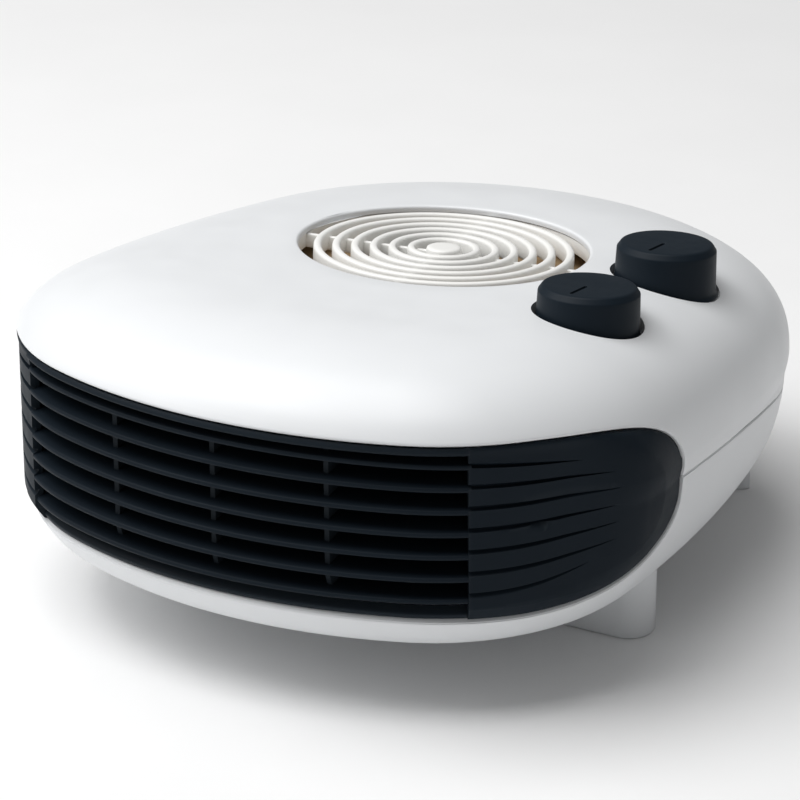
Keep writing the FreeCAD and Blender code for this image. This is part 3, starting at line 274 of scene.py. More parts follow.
def capped_loops(loops, flip=False):
    """Tube through equal loops with both ends closed."""
    n = len(loops[0])
    vertices = [p for loop in loops for p in loop]
    faces = grid_faces(len(loops), n, False, True)
    first = tuple(range(n))
    last = tuple(range((len(loops) - 1) * n, len(loops) * n))
    faces += [first[::-1], last] if flip else [first, last[::-1]]
    return vertices, faces


def boolean(obj, tool, kind):
    """Apply a boolean with a tool object, which is used up."""
    modifier = obj.modifiers.new("cut", "BOOLEAN")
    modifier.operation = kind
    modifier.solver = "EXACT"
    modifier.object = tool
    bpy.context.view_layer.update()
    graph = bpy.context.evaluated_depsgraph_get()
    mesh = bpy.data.meshes.new_from_object(obj.evaluated_get(graph))
    obj.modifiers.clear()
    obj.data = mesh
    bpy.data.objects.remove(tool)


def lathe_rings(profile_points, steps, place):
    """Closed ring: a closed profile of (radius, height) turned round the local axis."""
    vertices = []
    for i in range(steps):
        a = 2 * math.pi * i / steps
        for r, z in profile_points:
            vertices.append(place(r * math.cos(a), r * math.sin(a), z))
    return vertices, grid_faces(steps, len(profile_points))


def lathe_solid(profile_points, steps, place):
    """Solid turned from an open profile whose first and last points are on the axis."""
    vertices = [place(0, 0, profile_points[0][1])]
    body = profile_points[1:-1]
    for i in range(steps):
        a = 2 * math.pi * i / steps
        for r, z in body:
            vertices.append(place(r * math.cos(a), r * math.sin(a), z))
    vertices.append(place(0, 0, profile_points[-1][1]))
    n = len(body)
    faces = grid_faces(steps, n, True, False, 1)
    last = len(vertices) - 1
    for i in range(steps):
        j = (i + 1) % steps
        faces.append((0, 1 + i * n, 1 + j * n))
        faces.append((last, 1 + j * n + n - 1, 1 + i * n + n - 1))
    return vertices, faces


def add_to(store, part):
    """Add a part's vertices and faces to a store of both."""
    base = len(store[0])
    store[0].extend(part[0])
    store[1].extend([tuple(i + base for i in face) for face in part[1]])


def rounded(points, radius, steps=4):
    """Closed profile with its corners rounded."""
    out = []
    count = len(points)
    for i in range(count):
        p = np.array(points[i], float)
        a = np.array(points[i - 1], float) - p
        b = np.array(points[(i + 1) % count], float) - p
        la, lb = np.linalg.norm(a), np.linalg.norm(b)
        cut = min(radius, la * 0.48, lb * 0.48)
        start, end = p + a / la * cut, p + b / lb * cut
        for k in range(steps + 1):
            t = k / steps
            out.append(tuple((1 - t) ** 2 * start + 2 * (1 - t) * t * p + t * t * end))
    return out


# ---------- materials ----------

def mix(tree, a, b, factor):
    node = tree.nodes.new("ShaderNodeMix")
    node.data_type = "RGBA"
    for socket, value in ((6, a), (7, b), (0, factor)):
        if hasattr(value, "is_output"):
            tree.links.new(value, node.inputs[socket])
        else:
            node.inputs[socket].default_value = value
    return node.outputs[2]


def noise(tree, coord, scale, detail=3.0, rough=0.5):
    node = tree.nodes.new("ShaderNodeTexNoise")
    node.inputs["Scale"].default_value = scale
    node.inputs["Detail"].default_value = detail
    node.inputs["Roughness"].default_value = rough
    tree.links.new(coord, node.inputs["Vector"])
    return node.outputs["Fac"]


def ramp(tree, value, low, high, out_low, out_high):
    node = tree.nodes.new("ShaderNodeMapRange")
    limits = {"From Min": low, "From Max": high, "To Min": out_low, "To Max": out_high}
    for name, number in limits.items():
        node.inputs[name].default_value = number
    tree.links.new(value, node.inputs["Value"])
    return node.outputs["Result"]


BUMP_DEPTH = 0.0002
DUST_GREY = (0.45, 0.43, 0.40)


def material(name, colour, rough, spread=0.05, tone=0.06, grain=2600.0, bump=0.06,
             metallic=0.0, wear=None, level=0.5, stretch=None, dust=0.0):
    """Moulded plastic or metal: tone drift, grain bump, uneven gloss, edge wear and dust."""
    mat = bpy.data.materials.new(name)
    mat.use_nodes = True
    tree = mat.node_tree
    shader = tree.nodes["Principled BSDF"]
    coords = tree.nodes.new("ShaderNodeTexCoord").outputs["Object"]
    source = coords
    if stretch:
        mapping = tree.nodes.new("ShaderNodeMapping")
        mapping.inputs["Scale"].default_value = stretch
        tree.links.new(coords, mapping.inputs["Vector"])
        source = mapping.outputs["Vector"]
    broad = noise(tree, coords, 14.0, 4.0)
    fine = noise(tree, source, grain, 2.0)
    dark = [c * (1 - tone) for c in colour] + [1]
    light = [min(1, c * (1 + tone)) for c in colour] + [1]
    shade = mix(tree, dark, light, ramp(tree, broad, 0.3, 0.7, 0.0, 1.0))
    if wear:
        geometry = tree.nodes.new("ShaderNodeNewGeometry")
        edge = ramp(tree, geometry.outputs["Pointiness"], 0.52, 0.60, 0.0, 0.5)
        shade = mix(tree, shade, list(wear) + [1], edge)
    if dust:
        speck = noise(tree, coords, 420.0, 5.0, 0.7)
        shade = mix(tree, shade, list(DUST_GREY) + [1], ramp(tree, speck, 0.62, 0.8, 0.0, dust))
    tree.links.new(shade, shader.inputs["Base Color"])
    gloss = noise(tree, source, grain * 0.04, 4.0, 0.6)
    uneven = ramp(tree, gloss, 0.3, 0.7, rough - spread, rough + spread)
    tree.links.new(uneven, shader.inputs["Roughness"])
    shader.inputs["Metallic"].default_value = metallic
    shader.inputs["Specular IOR Level"].default_value = level
    relief = tree.nodes.new("ShaderNodeBump")
    relief.inputs["Strength"].default_value = bump
    relief.inputs["Distance"].default_value = BUMP_DEPTH
    tree.links.new(fine, relief.inputs["Height"])
    tree.links.new(relief.outputs["Normal"], shader.inputs["Normal"])
    return mat


MATS = {
    "case_white": material("case_white", (0.80, 0.815, 0.83), 0.36, 0.05, 0.012, 1500, 0.05),
    "grille_charcoal": material("grille_charcoal", (0.009, 0.014, 0.020), 0.50, 0.06, 0.12, 1800, 0.10,
                                wear=(0.03, 0.037, 0.043), level=0.07),
    "intake_cream": material("intake_cream", (0.88, 0.875, 0.85), 0.42, 0.05, 0.02, 1500, 0.06),
    "knob_charcoal": material("knob_charcoal", (0.008, 0.014, 0.021), 0.50, 0.05, 0.08, 2200, 0.12,
                              wear=(0.03, 0.038, 0.045), level=0.12),
    "impeller_black": material("impeller_black", (0.012, 0.012, 0.013), 0.45, 0.08, 0.15, 1200, 0.1,
                               dust=0.15),
    "board_tan": material("board_tan", (0.50, 0.35, 0.20), 0.62, 0.08, 0.16, 700, 0.25,
                          stretch=(1.0, 0.12, 1.0)),
    "scroll_black": material("scroll_black", (0.02, 0.02, 0.021), 0.5, 0.08, 0.15, 1200, 0.1, dust=0.1),
    "zinc_steel": material("zinc_steel", (0.60, 0.61, 0.62), 0.33, 0.10, 0.08, 900, 0.08, metallic=1.0),
    "aluminised_sheet": material("aluminised_sheet", (0.58, 0.59, 0.60), 0.38, 0.12, 0.10, 500, 0.12,
                                 metallic=1.0, stretch=(0.08, 1.0, 1.0)),
    "lamination_steel": material("lamination_steel", (0.24, 0.25, 0.27), 0.42, 0.08, 0.12, 1600, 0.3,
                                 metallic=0.9, stretch=(0.05, 0.05, 1.0)),
    "copper_winding": material("copper_winding", (0.50, 0.17, 0.06), 0.30, 0.08, 0.18, 2400, 0.5,
                               metallic=0.8, stretch=(1.0, 0.03, 0.03)),
    "bearing_bronze": material("bearing_bronze", (0.50, 0.32, 0.13), 0.40, 0.08, 0.10, 1400, 0.15,
                               metallic=1.0),
    "shaft_steel": material("shaft_steel", (0.66, 0.66, 0.67), 0.22, 0.06, 0.05, 1600, 0.05,
                            metallic=1.0, stretch=(1.0, 1.0, 0.05)),
    "bobbin_nylon": material("bobbin_nylon", (0.70, 0.68, 0.62), 0.48, 0.06, 0.04, 1100, 0.08),
    "mica_sheet": material("mica_sheet", (0.42, 0.34, 0.24), 0.45, 0.12, 0.22, 160, 0.25),
    "ribbon_alloy": material("ribbon_alloy", (0.30, 0.27, 0.25), 0.42, 0.10, 0.20, 800, 0.1,
                             metallic=1.0),
    "phenolic_dark": material("phenolic_dark", (0.045, 0.03, 0.022), 0.40, 0.08, 0.15, 900, 0.1),
    "terminal_nylon": material("terminal_nylon", (0.74, 0.72, 0.66), 0.42, 0.06, 0.04, 1100, 0.08),
    "grommet_rubber": material("grommet_rubber", (0.022, 0.022, 0.024), 0.62, 0.06, 0.15, 1300, 0.15),
}

for entry in frame["record"]["subparts"]:
    cad_node = NODES[entry["node"]]
    cad_node.data.materials.clear()
    cad_node.data.materials.append(MATS[entry["material_slot"]])


def finish_piece(obj, node, body, slot):
    """Give a finished piece its material and its body, and hide the CAD node that it stands for."""
    obj.data.materials.clear()
    obj.data.materials.append(MATS[slot])
    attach(obj, body)
    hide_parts(node)


# ---------- case halves ----------

# Rounded edge of a shell: distance from the edge along the skin, depth below the skin.
RIM = ((1.6, 0.0), (0.8, 0.0), (0.40, 0.03), (0.18, 0.12), (0.05, 0.26), (0.0, 0.45), (0.0, 1.6),
       (0.0, WALL))
RIM_END = 2.4
INTAKE_R, INTAKE_SOFT = 51.0, 1.0

UPPER_ROWS = [k / 10 for k in range(-7, 11)] + [1 + k / 44 for k in range(1, 45)]
LOWER_ROWS = [1 - k / 10 for k in range(11)] + [-k / 32 for k in range(1, 33)]


def rim_rows(theta, edge, sign):
    """Wall, rounding and outer strip of a shell's edge."""
    return [skin(theta, travel(theta, edge, distance, sign) if distance else edge, w)
            for distance, w in reversed(RIM)]


def upper_column(theta):
    """Closed section of the upper half: edge, skin, deck, intake edge and inner face."""
    low = boundary(theta, above_value, 2.0, -0.8, 130)
    rows = rim_rows(theta, low, 1)
    start = travel(theta, low, RIM_END, 1)
    rows += [skin(theta, max(s, start)) for s in UPPER_ROWS]
    edge_x, edge_y = outline(theta, SHOULDER)
    size = math.hypot(edge_x, edge_y - DECK_Y)
    ux, uy = edge_x / size, (edge_y - DECK_Y) / size
    wide = INTAKE_R + INTAKE_SOFT
    for k in range(1, 6):
        r = size + (wide - size) * k / 5
        rows.append(deck(ux * r, uy * r, 0))
    for k in range(1, 6):
        a = math.pi / 2 * k / 5
        r = wide - INTAKE_SOFT * math.sin(a)
        rows.append(deck(ux * r, uy * r, -INTAKE_SOFT * (1 - math.cos(a))))
    rows.append(deck(ux * INTAKE_R, uy * INTAKE_R, -WALL))
    inner_x, inner_y = outline(theta, SHOULDER + WALL)
    rows.append(deck((ux * INTAKE_R + inner_x) / 2, (uy * INTAKE_R + (inner_y - DECK_Y)) / 2, -WALL))
    rows += [skin(theta, max(s, low), WALL) for s in reversed(UPPER_ROWS[::2])]
    return rows


# Knob centre from the intake's, and the foot's height over the deck.
KNOB_SPOTS = ((78.8, -39.4, -8.9), (77.2, 19.1, -7.4))
WELL_R, CUP_WALL, WELL_CLEAR = 19.2, 2.2, 0.4


def deck_height(obj):
    """Function that gives the skin's height over the deck plane at a plan spot."""
    tree = BVHTree.FromObject(obj, bpy.context.evaluated_depsgraph_get())
    down = (deck(0, 0, -1) - deck(0, 0, 0)).normalized()

    def height(x, y):
        start = deck(x, y, 20) * MM
        hit = tree.ray_cast(start, down)
        return 20 - hit[3] / MM

    return height


def well_cup(x, y, floor, height):
    """Cup below a knob whose outer wall rises into the case wall all round."""
    steps, outer, inner = 96, WELL_R + CUP_WALL, WELL_R - 0.6
    vertices = [deck(x, y, floor - CUP_WALL)]
    for i in range(steps):
        a = 2 * math.pi * i / steps
        c, n = math.cos(a), math.sin(a)
        top = height(x + outer * c, y + outer * n) - WALL / 2
        for r, z in ((outer, floor - CUP_WALL), (outer, top), (inner, top), (inner, floor + 0.5)):
            vertices.append(deck(x + r * c, y + r * n, z))
    vertices.append(deck(x, y, floor + 0.5))
    faces = grid_faces(steps, 4, True, False, 1)
    last = len(vertices) - 1
    for i in range(steps):
        j = (i + 1) % steps
        faces.append((0, 1 + i * 4, 1 + j * 4))
        faces.append((last, 1 + j * 4 + 3, 1 + i * 4 + 3))
    return vertices, faces


def build_upper():
    """Upper half with a blind round well and a spindle hole below each knob."""
    columns = [upper_column(theta) for theta in COLUMNS]
    vertices = [p for column in columns for p in column]
    obj = new_object("upper_shell", vertices, grid_faces(len(columns), len(columns[0])))
    height = deck_height(obj)
    for x, y, base in KNOB_SPOTS:
        floor = base - WELL_CLEAR
        place = lambda a, b, c: deck(x + a, y + b, c)
        boolean(obj, new_object("cup", *well_cup(x, y, floor, height)), "UNION")
        hole = [(0, floor), (WELL_R - 0.3, floor), (WELL_R, floor + 0.3), (WELL_R, 12.0), (0, 12.0)]
        boolean(obj, new_object("well", *lathe_solid(hole, 96, place)), "DIFFERENCE")
        neck = [(0, floor - 5), (4.95, floor - 5), (4.95, 5), (0, 5)]
        boolean(obj, new_object("neck", *lathe_solid(neck, 48, place)), "DIFFERENCE")
    tidy(obj, 32.0)
    finish_piece(obj, "upper_housing", "case", "case_white")


def lower_column(theta):
    """Closed section of the lower half: edge, skin, underside and inner face."""
    high = boundary(theta, below_value, -1.0, 1.0)
    rows = rim_rows(theta, high, -1)
    start = travel(theta, high, RIM_END, -1)
    rows += [skin(theta, min(s, start)) for s in LOWER_ROWS]
    edge = skin(theta, -1.0)
    centre = Vector((0, 5, edge.z))
    rows += [centre + (edge - centre) * k for k in (0.86, 0.7, 0.5, 0.3, 0.12)]
    inner = skin(theta, -1.0, WALL)
    middle = Vector((0, 5, inner.z))
    rows += [middle + (inner - middle) * k for k in (0.12, 0.5, 0.86)]
    rows += [skin(theta, min(s, high), WALL) for s in reversed(LOWER_ROWS[::2])]
    return rows


def foot_mesh(x, y, half, deep, radius):
    """Slim oblong foot with a softly rounded sole."""
    loops = []
    for z, shrink in ((0.0, 1.0), (0.3, 0.45), (1.0, 0.0), (24.0, -0.4), (44.0, -0.4)):
        loop = []
        for k in range(64):
            a = 2 * math.pi * k / 64
            cx = (half - radius) * (1 if math.cos(a) > 0 else -1)
            cy = (deep - radius) * (1 if math.sin(a) > 0 else -1)
            r = radius - shrink
            loop.append(Vector((x + cx + r * math.cos(a), y + cy + r * math.sin(a), z)))
        loops.append(loop)
    return capped_loops(loops, True)


def outline_prism(inset, z0, z1):
    """Upright prism of the plan outline, drawn in by a distance."""
    steps = [a * 3.0 for a in range(-60, 60)]
    loops = [[Vector((*outline(theta, inset), z)) for theta in steps] for z in (z0, z1)]
    return capped_loops(loops, True)


FOOT_HALF, FOOT_DEEP, FOOT_ROUND = 18.5, 9.25, 9.0
FOOT_INSET, FOOT_LOW, FOOT_TOP_FRONT, FOOT_TOP_REAR = 8.0, -5, 25.5, 36
FEET = ((84.5, -21.2), (59.0, 110.5))
POST_R, WELL_BORE, SCREW_BORE, POST_SEAT = 6.0, 3.95, 1.9, 14.0
POSTS = ((98.0, -52.0, 25.0), (56.0, 108.0, 10.0))
GLAND_Y, GLAND_Z, GLAND_R, GLAND_BORE, GLAND_LONG = 141.2, 33.5, 9.2, 5.6, 16


def build_lower():
    """Lower half with its four feet, four screw posts and the cord inlet's boss."""
    columns = [lower_column(theta) for theta in COLUMNS]
    vertices = [p for column in columns for p in column]
    obj = new_object("lower_shell", vertices, grid_faces(len(columns), len(columns[0])))
    for side in (-1, 1):
        for x, y in FEET:
            foot = new_object("foot", *foot_mesh(side * x, y, FOOT_HALF, FOOT_DEEP, FOOT_ROUND))
            top = FOOT_TOP_REAR if y > 0 else FOOT_TOP_FRONT
            limit = new_object("limit", *outline_prism(FOOT_INSET, FOOT_LOW, top))
            boolean(foot, limit, "INTERSECT")
            boolean(obj, foot, "UNION")
    for side in (-1, 1):
        for x, y, z0 in POSTS:
            top, seat = parting(y) - 1, parting(y) - POST_SEAT
            through = parting(y) + 4
            place = lambda a, b, c: Vector((side * x + a, y + b, c))
            post = [(0, z0), (POST_R, z0), (POST_R, top), (0, top)]
            boolean(obj, new_object("post", *lathe_solid(post, 48, place)), "UNION")
            bore = [(0, -2), (WELL_BORE, -2), (WELL_BORE, seat), (SCREW_BORE, seat),
                    (SCREW_BORE, through), (0, through)]
            boolean(obj, new_object("bore", *lathe_solid(bore, 48, place)), "DIFFERENCE")
    gland = lambda a, b, c: Vector((a, GLAND_Y + c, GLAND_Z + b))
    boss = rounded([(4.0, -GLAND_LONG), (GLAND_R, -GLAND_LONG), (GLAND_R, 0), (4.0, 0)], 0.6)
    boolean(obj, new_object("boss", *lathe_rings(boss, 64, gland)), "UNION")
    hole = [(0, -18), (GLAND_BORE, -18), (GLAND_BORE, 6), (0, 6)]
    boolean(obj, new_object("hole", *lathe_solid(hole, 64, gland)), "DIFFERENCE")
    tidy(obj, 32.0)
    finish_piece(obj, "lower_housing", "case", "case_white")


# ---------- outlet grille ----------

GRILLE_IN, CHEEK = 1.2, 3.2
GROOVE_COUNT = 7
GROOVE_START = (-118.0, 94.1)
GROOVE_PITCH = 7.7
TIP_Y = (-84.7, -75.0, -73.0, -74.0, -73.0, -73.8, -82.2)
TIP_Z, TIP_PITCH = 89.8, 6.1
GROOVE_HALF, GROOVE_DEPTH = 0.95, 1.7
UPRIGHT, PROUD, RIM_DEPTH = 4.7, -1.2, 0.8
FACE_LOWER = bezier([(-130, 42.2), (-80, 44.5), (-51.5, 50), (-50.6, 66)], 24)
FACE_UPPER = bezier([(-50.6, 66), (-50.6, 76), (-58, 84.5), (-66, 88.5)], 16)
FACE_EDGE = np.vstack([FACE_LOWER, FACE_UPPER[1:]])


def groove_line(index, y):
    """Height and half width of a cheek groove at a side-view position."""
    start_y, start_z = GROOVE_START[0], GROOVE_START[1] - GROOVE_PITCH * index
    t = min(max((y - start_y) / (TIP_Y[index] - start_y), 0.0), 1.0)
    bend = 1.2 + 0.15 * index
    rise = TIP_Z - TIP_PITCH * index - start_z
    return start_z + rise * t ** bend, GROOVE_HALF * (1 - t ** 1.6) ** 0.75


def smooth_step(t):
    t = min(max(t, 0.0), 1.0)
    return t * t * (3 - 2 * t)


def set_back(theta, s):
    """Depth of the cheek below the case form: upright in front, proud at the rear, flush at its rim."""
    p = skin(theta, s)
    upright = GRILLE_IN + max(-1.5, UPRIGHT - profile(s, 0.0)[1])
    rear = smooth_step((p.y + 95.0) / 35.0)
    face = upright + (PROUD - upright) * rear
    keep = min(1 - band_share(p.y, p.z), smooth_step(-outlet_distance(p.y, p.z) / 3.5))
    return RIM_DEPTH + (face - RIM_DEPTH) * keep


def band_share(y, z):
    """0 on the cheek's face, rising to 1 at its outer edge across the bevelled band."""
    fade = smooth_step((y + 76.0) / 16.0) if z > 70.0 else 1.0
    if fade == 0.0:
        return 0.0
    a, d = FACE_EDGE[:-1], np.diff(FACE_EDGE, axis=0)
    q = np.array([y, z]) - a
    t = np.clip((q * d).sum(1) / (d * d).sum(1), 0, 1)
    gap = q - t[:, None] * d
    distance = np.sqrt((gap ** 2).sum(1))
    k = int(distance.argmin())
    if d[k][0] * gap[k][1] - d[k][1] * gap[k][0] > 0:
        return 0.0
    rest = max(0.0, -outlet_distance(y, z))
    return fade * distance[k] / max(distance[k] + rest, 0.1)


def cheek_depth(y, z):
    """Depth of the grooves below the cheek's face."""
    depth = 0.0
    for index in range(GROOVE_COUNT):
        middle, half = groove_line(index, y)
        away = abs(z - middle) / max(half, 0.01)
        if away < 1.0:
            depth = max(depth, GROOVE_DEPTH * min(1.0, half * 1.4) * (1 - away ** 2.0) ** 0.9)
    return depth


def band_limits(theta, polygon):
    """Lower and upper profile positions of the outlet opening on a column."""
    low = boundary(theta, lambda p: -outlet_distance(p.y, p.z, polygon), 0.35, -1.0, 60)
    high = boundary(theta, lambda p: -outlet_distance(p.y, p.z, polygon), 0.35, 1.9, 60)
    return low, high


def cheek_rows(theta, low, high):
    """Profile positions for one cheek column, close together across each groove and edge."""
    s = np.linspace(low, high, 70)
    points = [skin(theta, v, set_back(theta, v)) for v in s]
    steps = [(q - p).length for p, q in zip(points, points[1:])]
    run = np.concatenate([[0.0], np.cumsum(steps)])
    total = run[-1]
    marks = [0.0, 0.12, 0.3, 0.55, 0.85, 1.3, 2.2]
    marks += [total - m for m in marks]
    for index in range(GROOVE_COUNT):
        off = np.array([p.z - groove_line(index, p.y)[0] for p in points])
        middle = float(np.interp(0.0, off, run))
        at_y = float(np.interp(middle, run, [p.y for p in points]))
        half = max(groove_line(index, at_y)[1], 0.15)
        marks += [middle + half * k for k in (-1.3, -1.05, -0.9, -0.65, -0.3, 0.0, 0.3, 0.65, 0.9, 1.05, 1.3)]
    off = [band_share(p.y, p.z) for p in points]
    inside = [r for r, share in zip(run, off) if share == 0.0]
    edge = inside[0] if inside else 0.5 * total
    marks += [edge + k for k in (-0.6, -0.3, 0.0, 0.3, 0.6)] + [edge * k / 6 for k in range(1, 6)]
    marks += list(np.linspace(0, total, 42)[1:-1])
    return np.interp(np.clip(np.sort(marks), 0.0, total), run, s), total


def cheek_mesh(side, store):
    polygon = outlet_polygon(-0.35)
    thetas = []
    t = 37.8
    while True:
        x, y = outline(t, 1.2)
        if y > -36.6:
            break
        thetas.append(t)
        t += math.degrees((0.5 if y > -66 else 1.0) / radius_at(t))
    columns = []
    for theta in thetas:
        low, high = band_limits(theta, polygon)
        if high - low < 0.02:
            continue
        rows, total = cheek_rows(theta, low, high)
        outer, inner = [], []
        for s in rows:
            back = set_back(theta, s)
            p = skin(theta, s, back)
            rim = min(s - low, high - s) / (high - low) * total
            soft = 0.45 * max(0.0, 1 - rim / 0.8) ** 2
            outer.append(skin(theta * side, s, back + cheek_depth(p.y, p.z) + soft))
            inner.append(skin(theta * side, s, back + CHEEK))
        columns.append(outer + inner[::-8] + [inner[0]])
    n = len(columns[0])
    vertices = [p for column in columns for p in column]
    faces = grid_faces(len(columns), n, False, True)
    last = (len(columns) - 1) * n
    faces.append(tuple(range(n)))
    faces.append(tuple(reversed(range(last, last + n))))
    add_to(store, (vertices, faces))


def rail_mesh(upper, store):
    """Rail above or below the window, between the cheeks."""
    outside = outlet_polygon(-0.35)
    inside = outlet_polygon(-2.6)
    pick = 1 if upper else 0
    columns = []
    for k in range(-76, 77):
        theta = k * 0.5
        a = band_limits(theta, outside)[pick]
        b = band_limits(theta, inside)[pick]
        rows = []
        for share, w in ((0.0, 4.0), (0.0, 1.7), (0.08, 1.35), (0.2, 1.2), (0.8, 1.2), (0.92, 1.35), (1.0, 1.7), (1.0, 4.0)):
            rows.append(skin(theta, a + (b - a) * share, w))
        columns.append(rows)
    n = len(columns[0])
    vertices = [p for column in columns for p in column]
    faces = grid_faces(len(columns), n, False, True)
    last = (len(columns) - 1) * n
    faces.append(tuple(range(n)))
    faces.append(tuple(reversed(range(last, last + n))))
    add_to(store, (vertices, faces))


def slat_mesh(index, store):
    level = 84.7 - 6.87 * index - 0.75
    draw = max(profile(level_profile(level), 0.0)[1], UPRIGHT) + GRILLE_IN
    shape = rounded([(0, -0.75), (12.0, 1.75), (12.0, 3.15), (0, 0.75)], 0.7)
    columns = []
    for k in range(-74, 75):
        theta = k * 0.52
        rows = []
        for depth, rise in shape:
            x, y = outline(theta, draw + depth)
            rows.append(lean(x, y, level + rise))
        columns.append(rows)
    n = len(shape)
    vertices = [p for column in columns for p in column]
    faces = grid_faces(len(columns), n, False, True)
    last = (len(columns) - 1) * n
    faces.append(tuple(range(n)))
    faces.append(tuple(reversed(range(last, last + n))))
    add_to(store, (vertices, faces))


def level_profile(level):
    low, high = -1.0, 2.0
    for _ in range(30):
        mid = (low + high) / 2
        if profile(mid, 0.0)[0] < level:
            low = mid
        else:
            high = mid
    return low


def rib_mesh(x0, store):
    """Upright rib behind the slats, following the front."""
    thin = 0.9
    theta = math.degrees(math.asin(x0 / RADII[0]))
    low, high = band_limits(theta, outlet_polygon(-1.0))
    rows = []
    for i in range(41):
        s = low + (high - low) * i / 40
        start = GRILLE_IN + max(0.0, UPRIGHT - profile(s, 0.0)[1]) + 4.5
        front, back = skin(theta, s, start), skin(theta, s, start + 11.0)
        for dx, p in ((-thin, front), (thin, front), (thin, back), (-thin, back)):
            rows.append(Vector((x0 + dx, p.y, p.z)))
    faces = grid_faces(41, 4, False, True)
    faces.append((3, 2, 1, 0))
    faces.append((160, 161, 162, 163))
    add_to(store, (rows, faces))


def build_outlet():
    store = ([], [])
    for side in (-1, 1):
        cheek_mesh(side, store)
    for upper in (False, True):
        rail_mesh(upper, store)
    for index in range(7):
        slat_mesh(index, store)
    for i in (-1, 0, 1):
        rib_mesh(i * 41.0, store)
    obj = new_object("outlet_front", *store, smooth=50.0)
    finish_piece(obj, "outlet_grille", "case", "grille_charcoal")


# ---------- intake grille ----------

def build_intake():
    store = ([], [])
    for i in range(6):
        r = 45.6 - 6.55 * i
        shape = rounded([(r - 2.8, -7.6), (r, -7.6), (r, -0.6), (r - 2.8, -0.6)], 1.3, 6)
        add_to(store, lathe_rings(shape, 128, deck))
    collar = rounded([(51.4, -7.6), (55.0, -7.6), (55.0, -2.6), (51.4, -2.6)], 0.3, 2)
    add_to(store, lathe_rings(collar, 128, deck))
    hub = [(0, -7.6), (6.2, -7.6), (6.2, -1.5), (5.95, -0.95), (5.4, -0.65), (4.0, -0.6), (0, -0.6)]
    add_to(store, lathe_solid(hub, 64, deck))
    for k in range(4):
        a = math.radians(10 + 90 * k)
        c, n = math.cos(a), math.sin(a)
        shape = rounded([(-1.0, -7.6), (1.0, -7.6), (1.0, -2.6), (-1.0, -2.6)], 0.5, 3)
        vertices = []
        for r in (3.0, 53.0):
            for across, z in shape:
                vertices.append(deck(r * c - across * n, r * n + across * c, z))
        m = len(shape)
        faces = grid_faces(2, m, False, True)
        faces.append(tuple(range(m)))
        faces.append(tuple(reversed(range(m, 2 * m))))
        add_to(store, (vertices, faces))
    obj = new_object("intake_rings", *store, smooth=45.0)
    finish_piece(obj, "intake_grille", "case", "intake_cream")


# ---------- knobs ----------

KNOB_TALL = 17.8


def knob_profile():
    """Bore, flared foot, slightly tapering side, bevel and flat face."""
    face, side = KNOB_TALL, KNOB_TALL - 2.2
    points = [(0, 15.0), (3.05, 15.0), (3.05, 0.0)]
    points += [(18.3, 0.0), (18.7, 0.15), (18.62, 0.5), (18.25, 0.95), (17.85, 1.5), (17.68, 2.2)]
    for k in range(1, 10):
        points.append((17.68 - 0.42 * k / 9, 2.2 + (side - 2.4) * k / 9))
    points += [(17.22, side), (17.12, side + 0.22), (16.95, side + 0.42), (16.2, side + 1.55),
               (15.95, side + 1.85), (15.6, face - 0.15), (15.2, face - 0.05), (14.6, face),
               (8.0, face), (0, face)]
    return points


SLOT_MIDDLE, SLOT_HALF = -7.6, 4.9


def pointer_slot(place):
    """Cutter for the short pointer groove on a knob: straight sides, rounded ends and floor."""
    vertices = []
    loops = ((-0.85, -0.30), (-0.75, -0.12), (-0.5, 0.0), (-0.1, 0.04), (1.3, 0.04))
    count = 12
    for z, grow in loops:
        r = 0.62 + grow
        for k in range(2 * count):
            end = -1 if k < count else 1
            a = math.pi * (k % count) / (count - 1) + (math.pi if end < 0 else 0.0)
            along = SLOT_MIDDLE + end * SLOT_HALF + r * math.sin(a)
            vertices.append(place(r * math.cos(a), along, KNOB_TALL + z))
    m = 2 * count
    faces = grid_faces(len(loops), m, False, True)
    faces.append(tuple(reversed(range(m))))
    faces.append(tuple(range((len(loops) - 1) * m, len(loops) * m)))
    return vertices, faces


def build_knob(name, node, body, x, y, base):
    place = lambda a, b, c: deck(x + a, y + b, base + c)
    obj = new_object(name, *lathe_solid(knob_profile(), 128, place), smooth=40.0)
    boolean(obj, new_object("slot", *pointer_slot(place)), "DIFFERENCE")
    tidy(obj, 38.0)
    finish_piece(obj, node, body, "knob_charcoal")


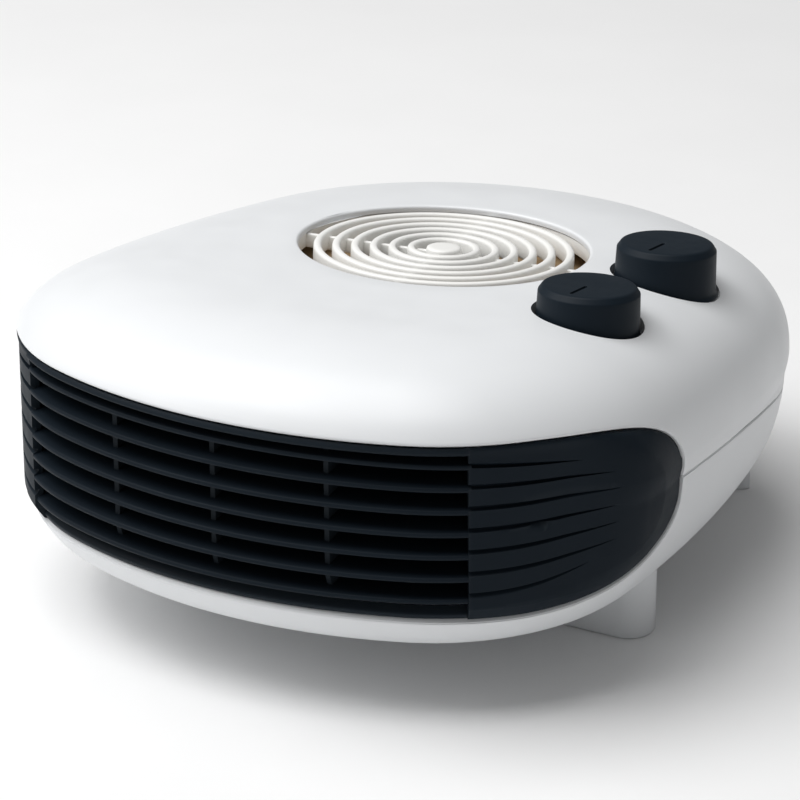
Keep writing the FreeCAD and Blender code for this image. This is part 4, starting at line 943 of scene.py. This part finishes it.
build_upper()
build_lower()
build_outlet()
build_intake()
build_knob("knob_near", "thermostat_knob", "thermostat_control", *KNOB_SPOTS[0])
build_knob("knob_far", "selector_knob", "selector_control", *KNOB_SPOTS[1])

# ---------- floor, light and camera ----------

mesh = bpy.data.meshes.new("floor")
mesh.from_pydata([(-6, -6, 0), (6, -6, 0), (6, 6, 0), (-6, 6, 0)], [], [(0, 1, 2, 3)])
floor = bpy.data.objects.new("floor", mesh)
bpy.context.scene.collection.objects.link(floor)
floor.data.materials.append(material("floor_pale", (0.92, 0.92, 0.92), 0.7, 0.05, 0.01, 60, 0.02))

world = bpy.data.worlds.new("studio")
world.use_nodes = True
world.node_tree.nodes["Background"].inputs["Color"].default_value = (1, 1, 1, 1)
world.node_tree.nodes["Background"].inputs["Strength"].default_value = 0.19
bpy.context.scene.world = world


def area_light(name, spot, aim, size, power):
    light = bpy.data.lights.new(name, "AREA")
    light.shape = "RECTANGLE"
    light.size, light.size_y = size
    light.energy = power
    obj = bpy.data.objects.new(name, light)
    obj.location = spot
    obj.rotation_euler = (Vector(aim) - Vector(spot)).to_track_quat("-Z", "Y").to_euler()
    bpy.context.scene.collection.objects.link(obj)


area_light("key", (-1.15, -0.65, 1.35), (0, 0, 0.08), (1.3, 1.3), 16.0)
area_light("top", (-0.35, -0.3, 1.75), (0, 0, 0.08), (1.5, 1.5), 25.0)

camera = bpy.data.objects.new("camera", bpy.data.cameras.new("camera"))
right = Vector((0.85915, 0.51160, -0.01137))
up = Vector((-0.18688, 0.33436, 0.92373))
back = Vector((0.47638, -0.79150, 0.38287))
matrix = Matrix((right, up, back)).transposed().to_4x4()
matrix.translation = Vector((0.7950, -1.3320, 0.6990))
camera.matrix_world = matrix
camera.data.sensor_width = 36.0
camera.data.lens = 215.5
camera.data.shift_x = -0.00735
camera.data.shift_y = 0.0064
camera.data.clip_end = 50.0
bpy.context.scene.collection.objects.link(camera)
bpy.context.scene.camera = camera
bpy.context.scene.view_settings.view_transform = "Standard"
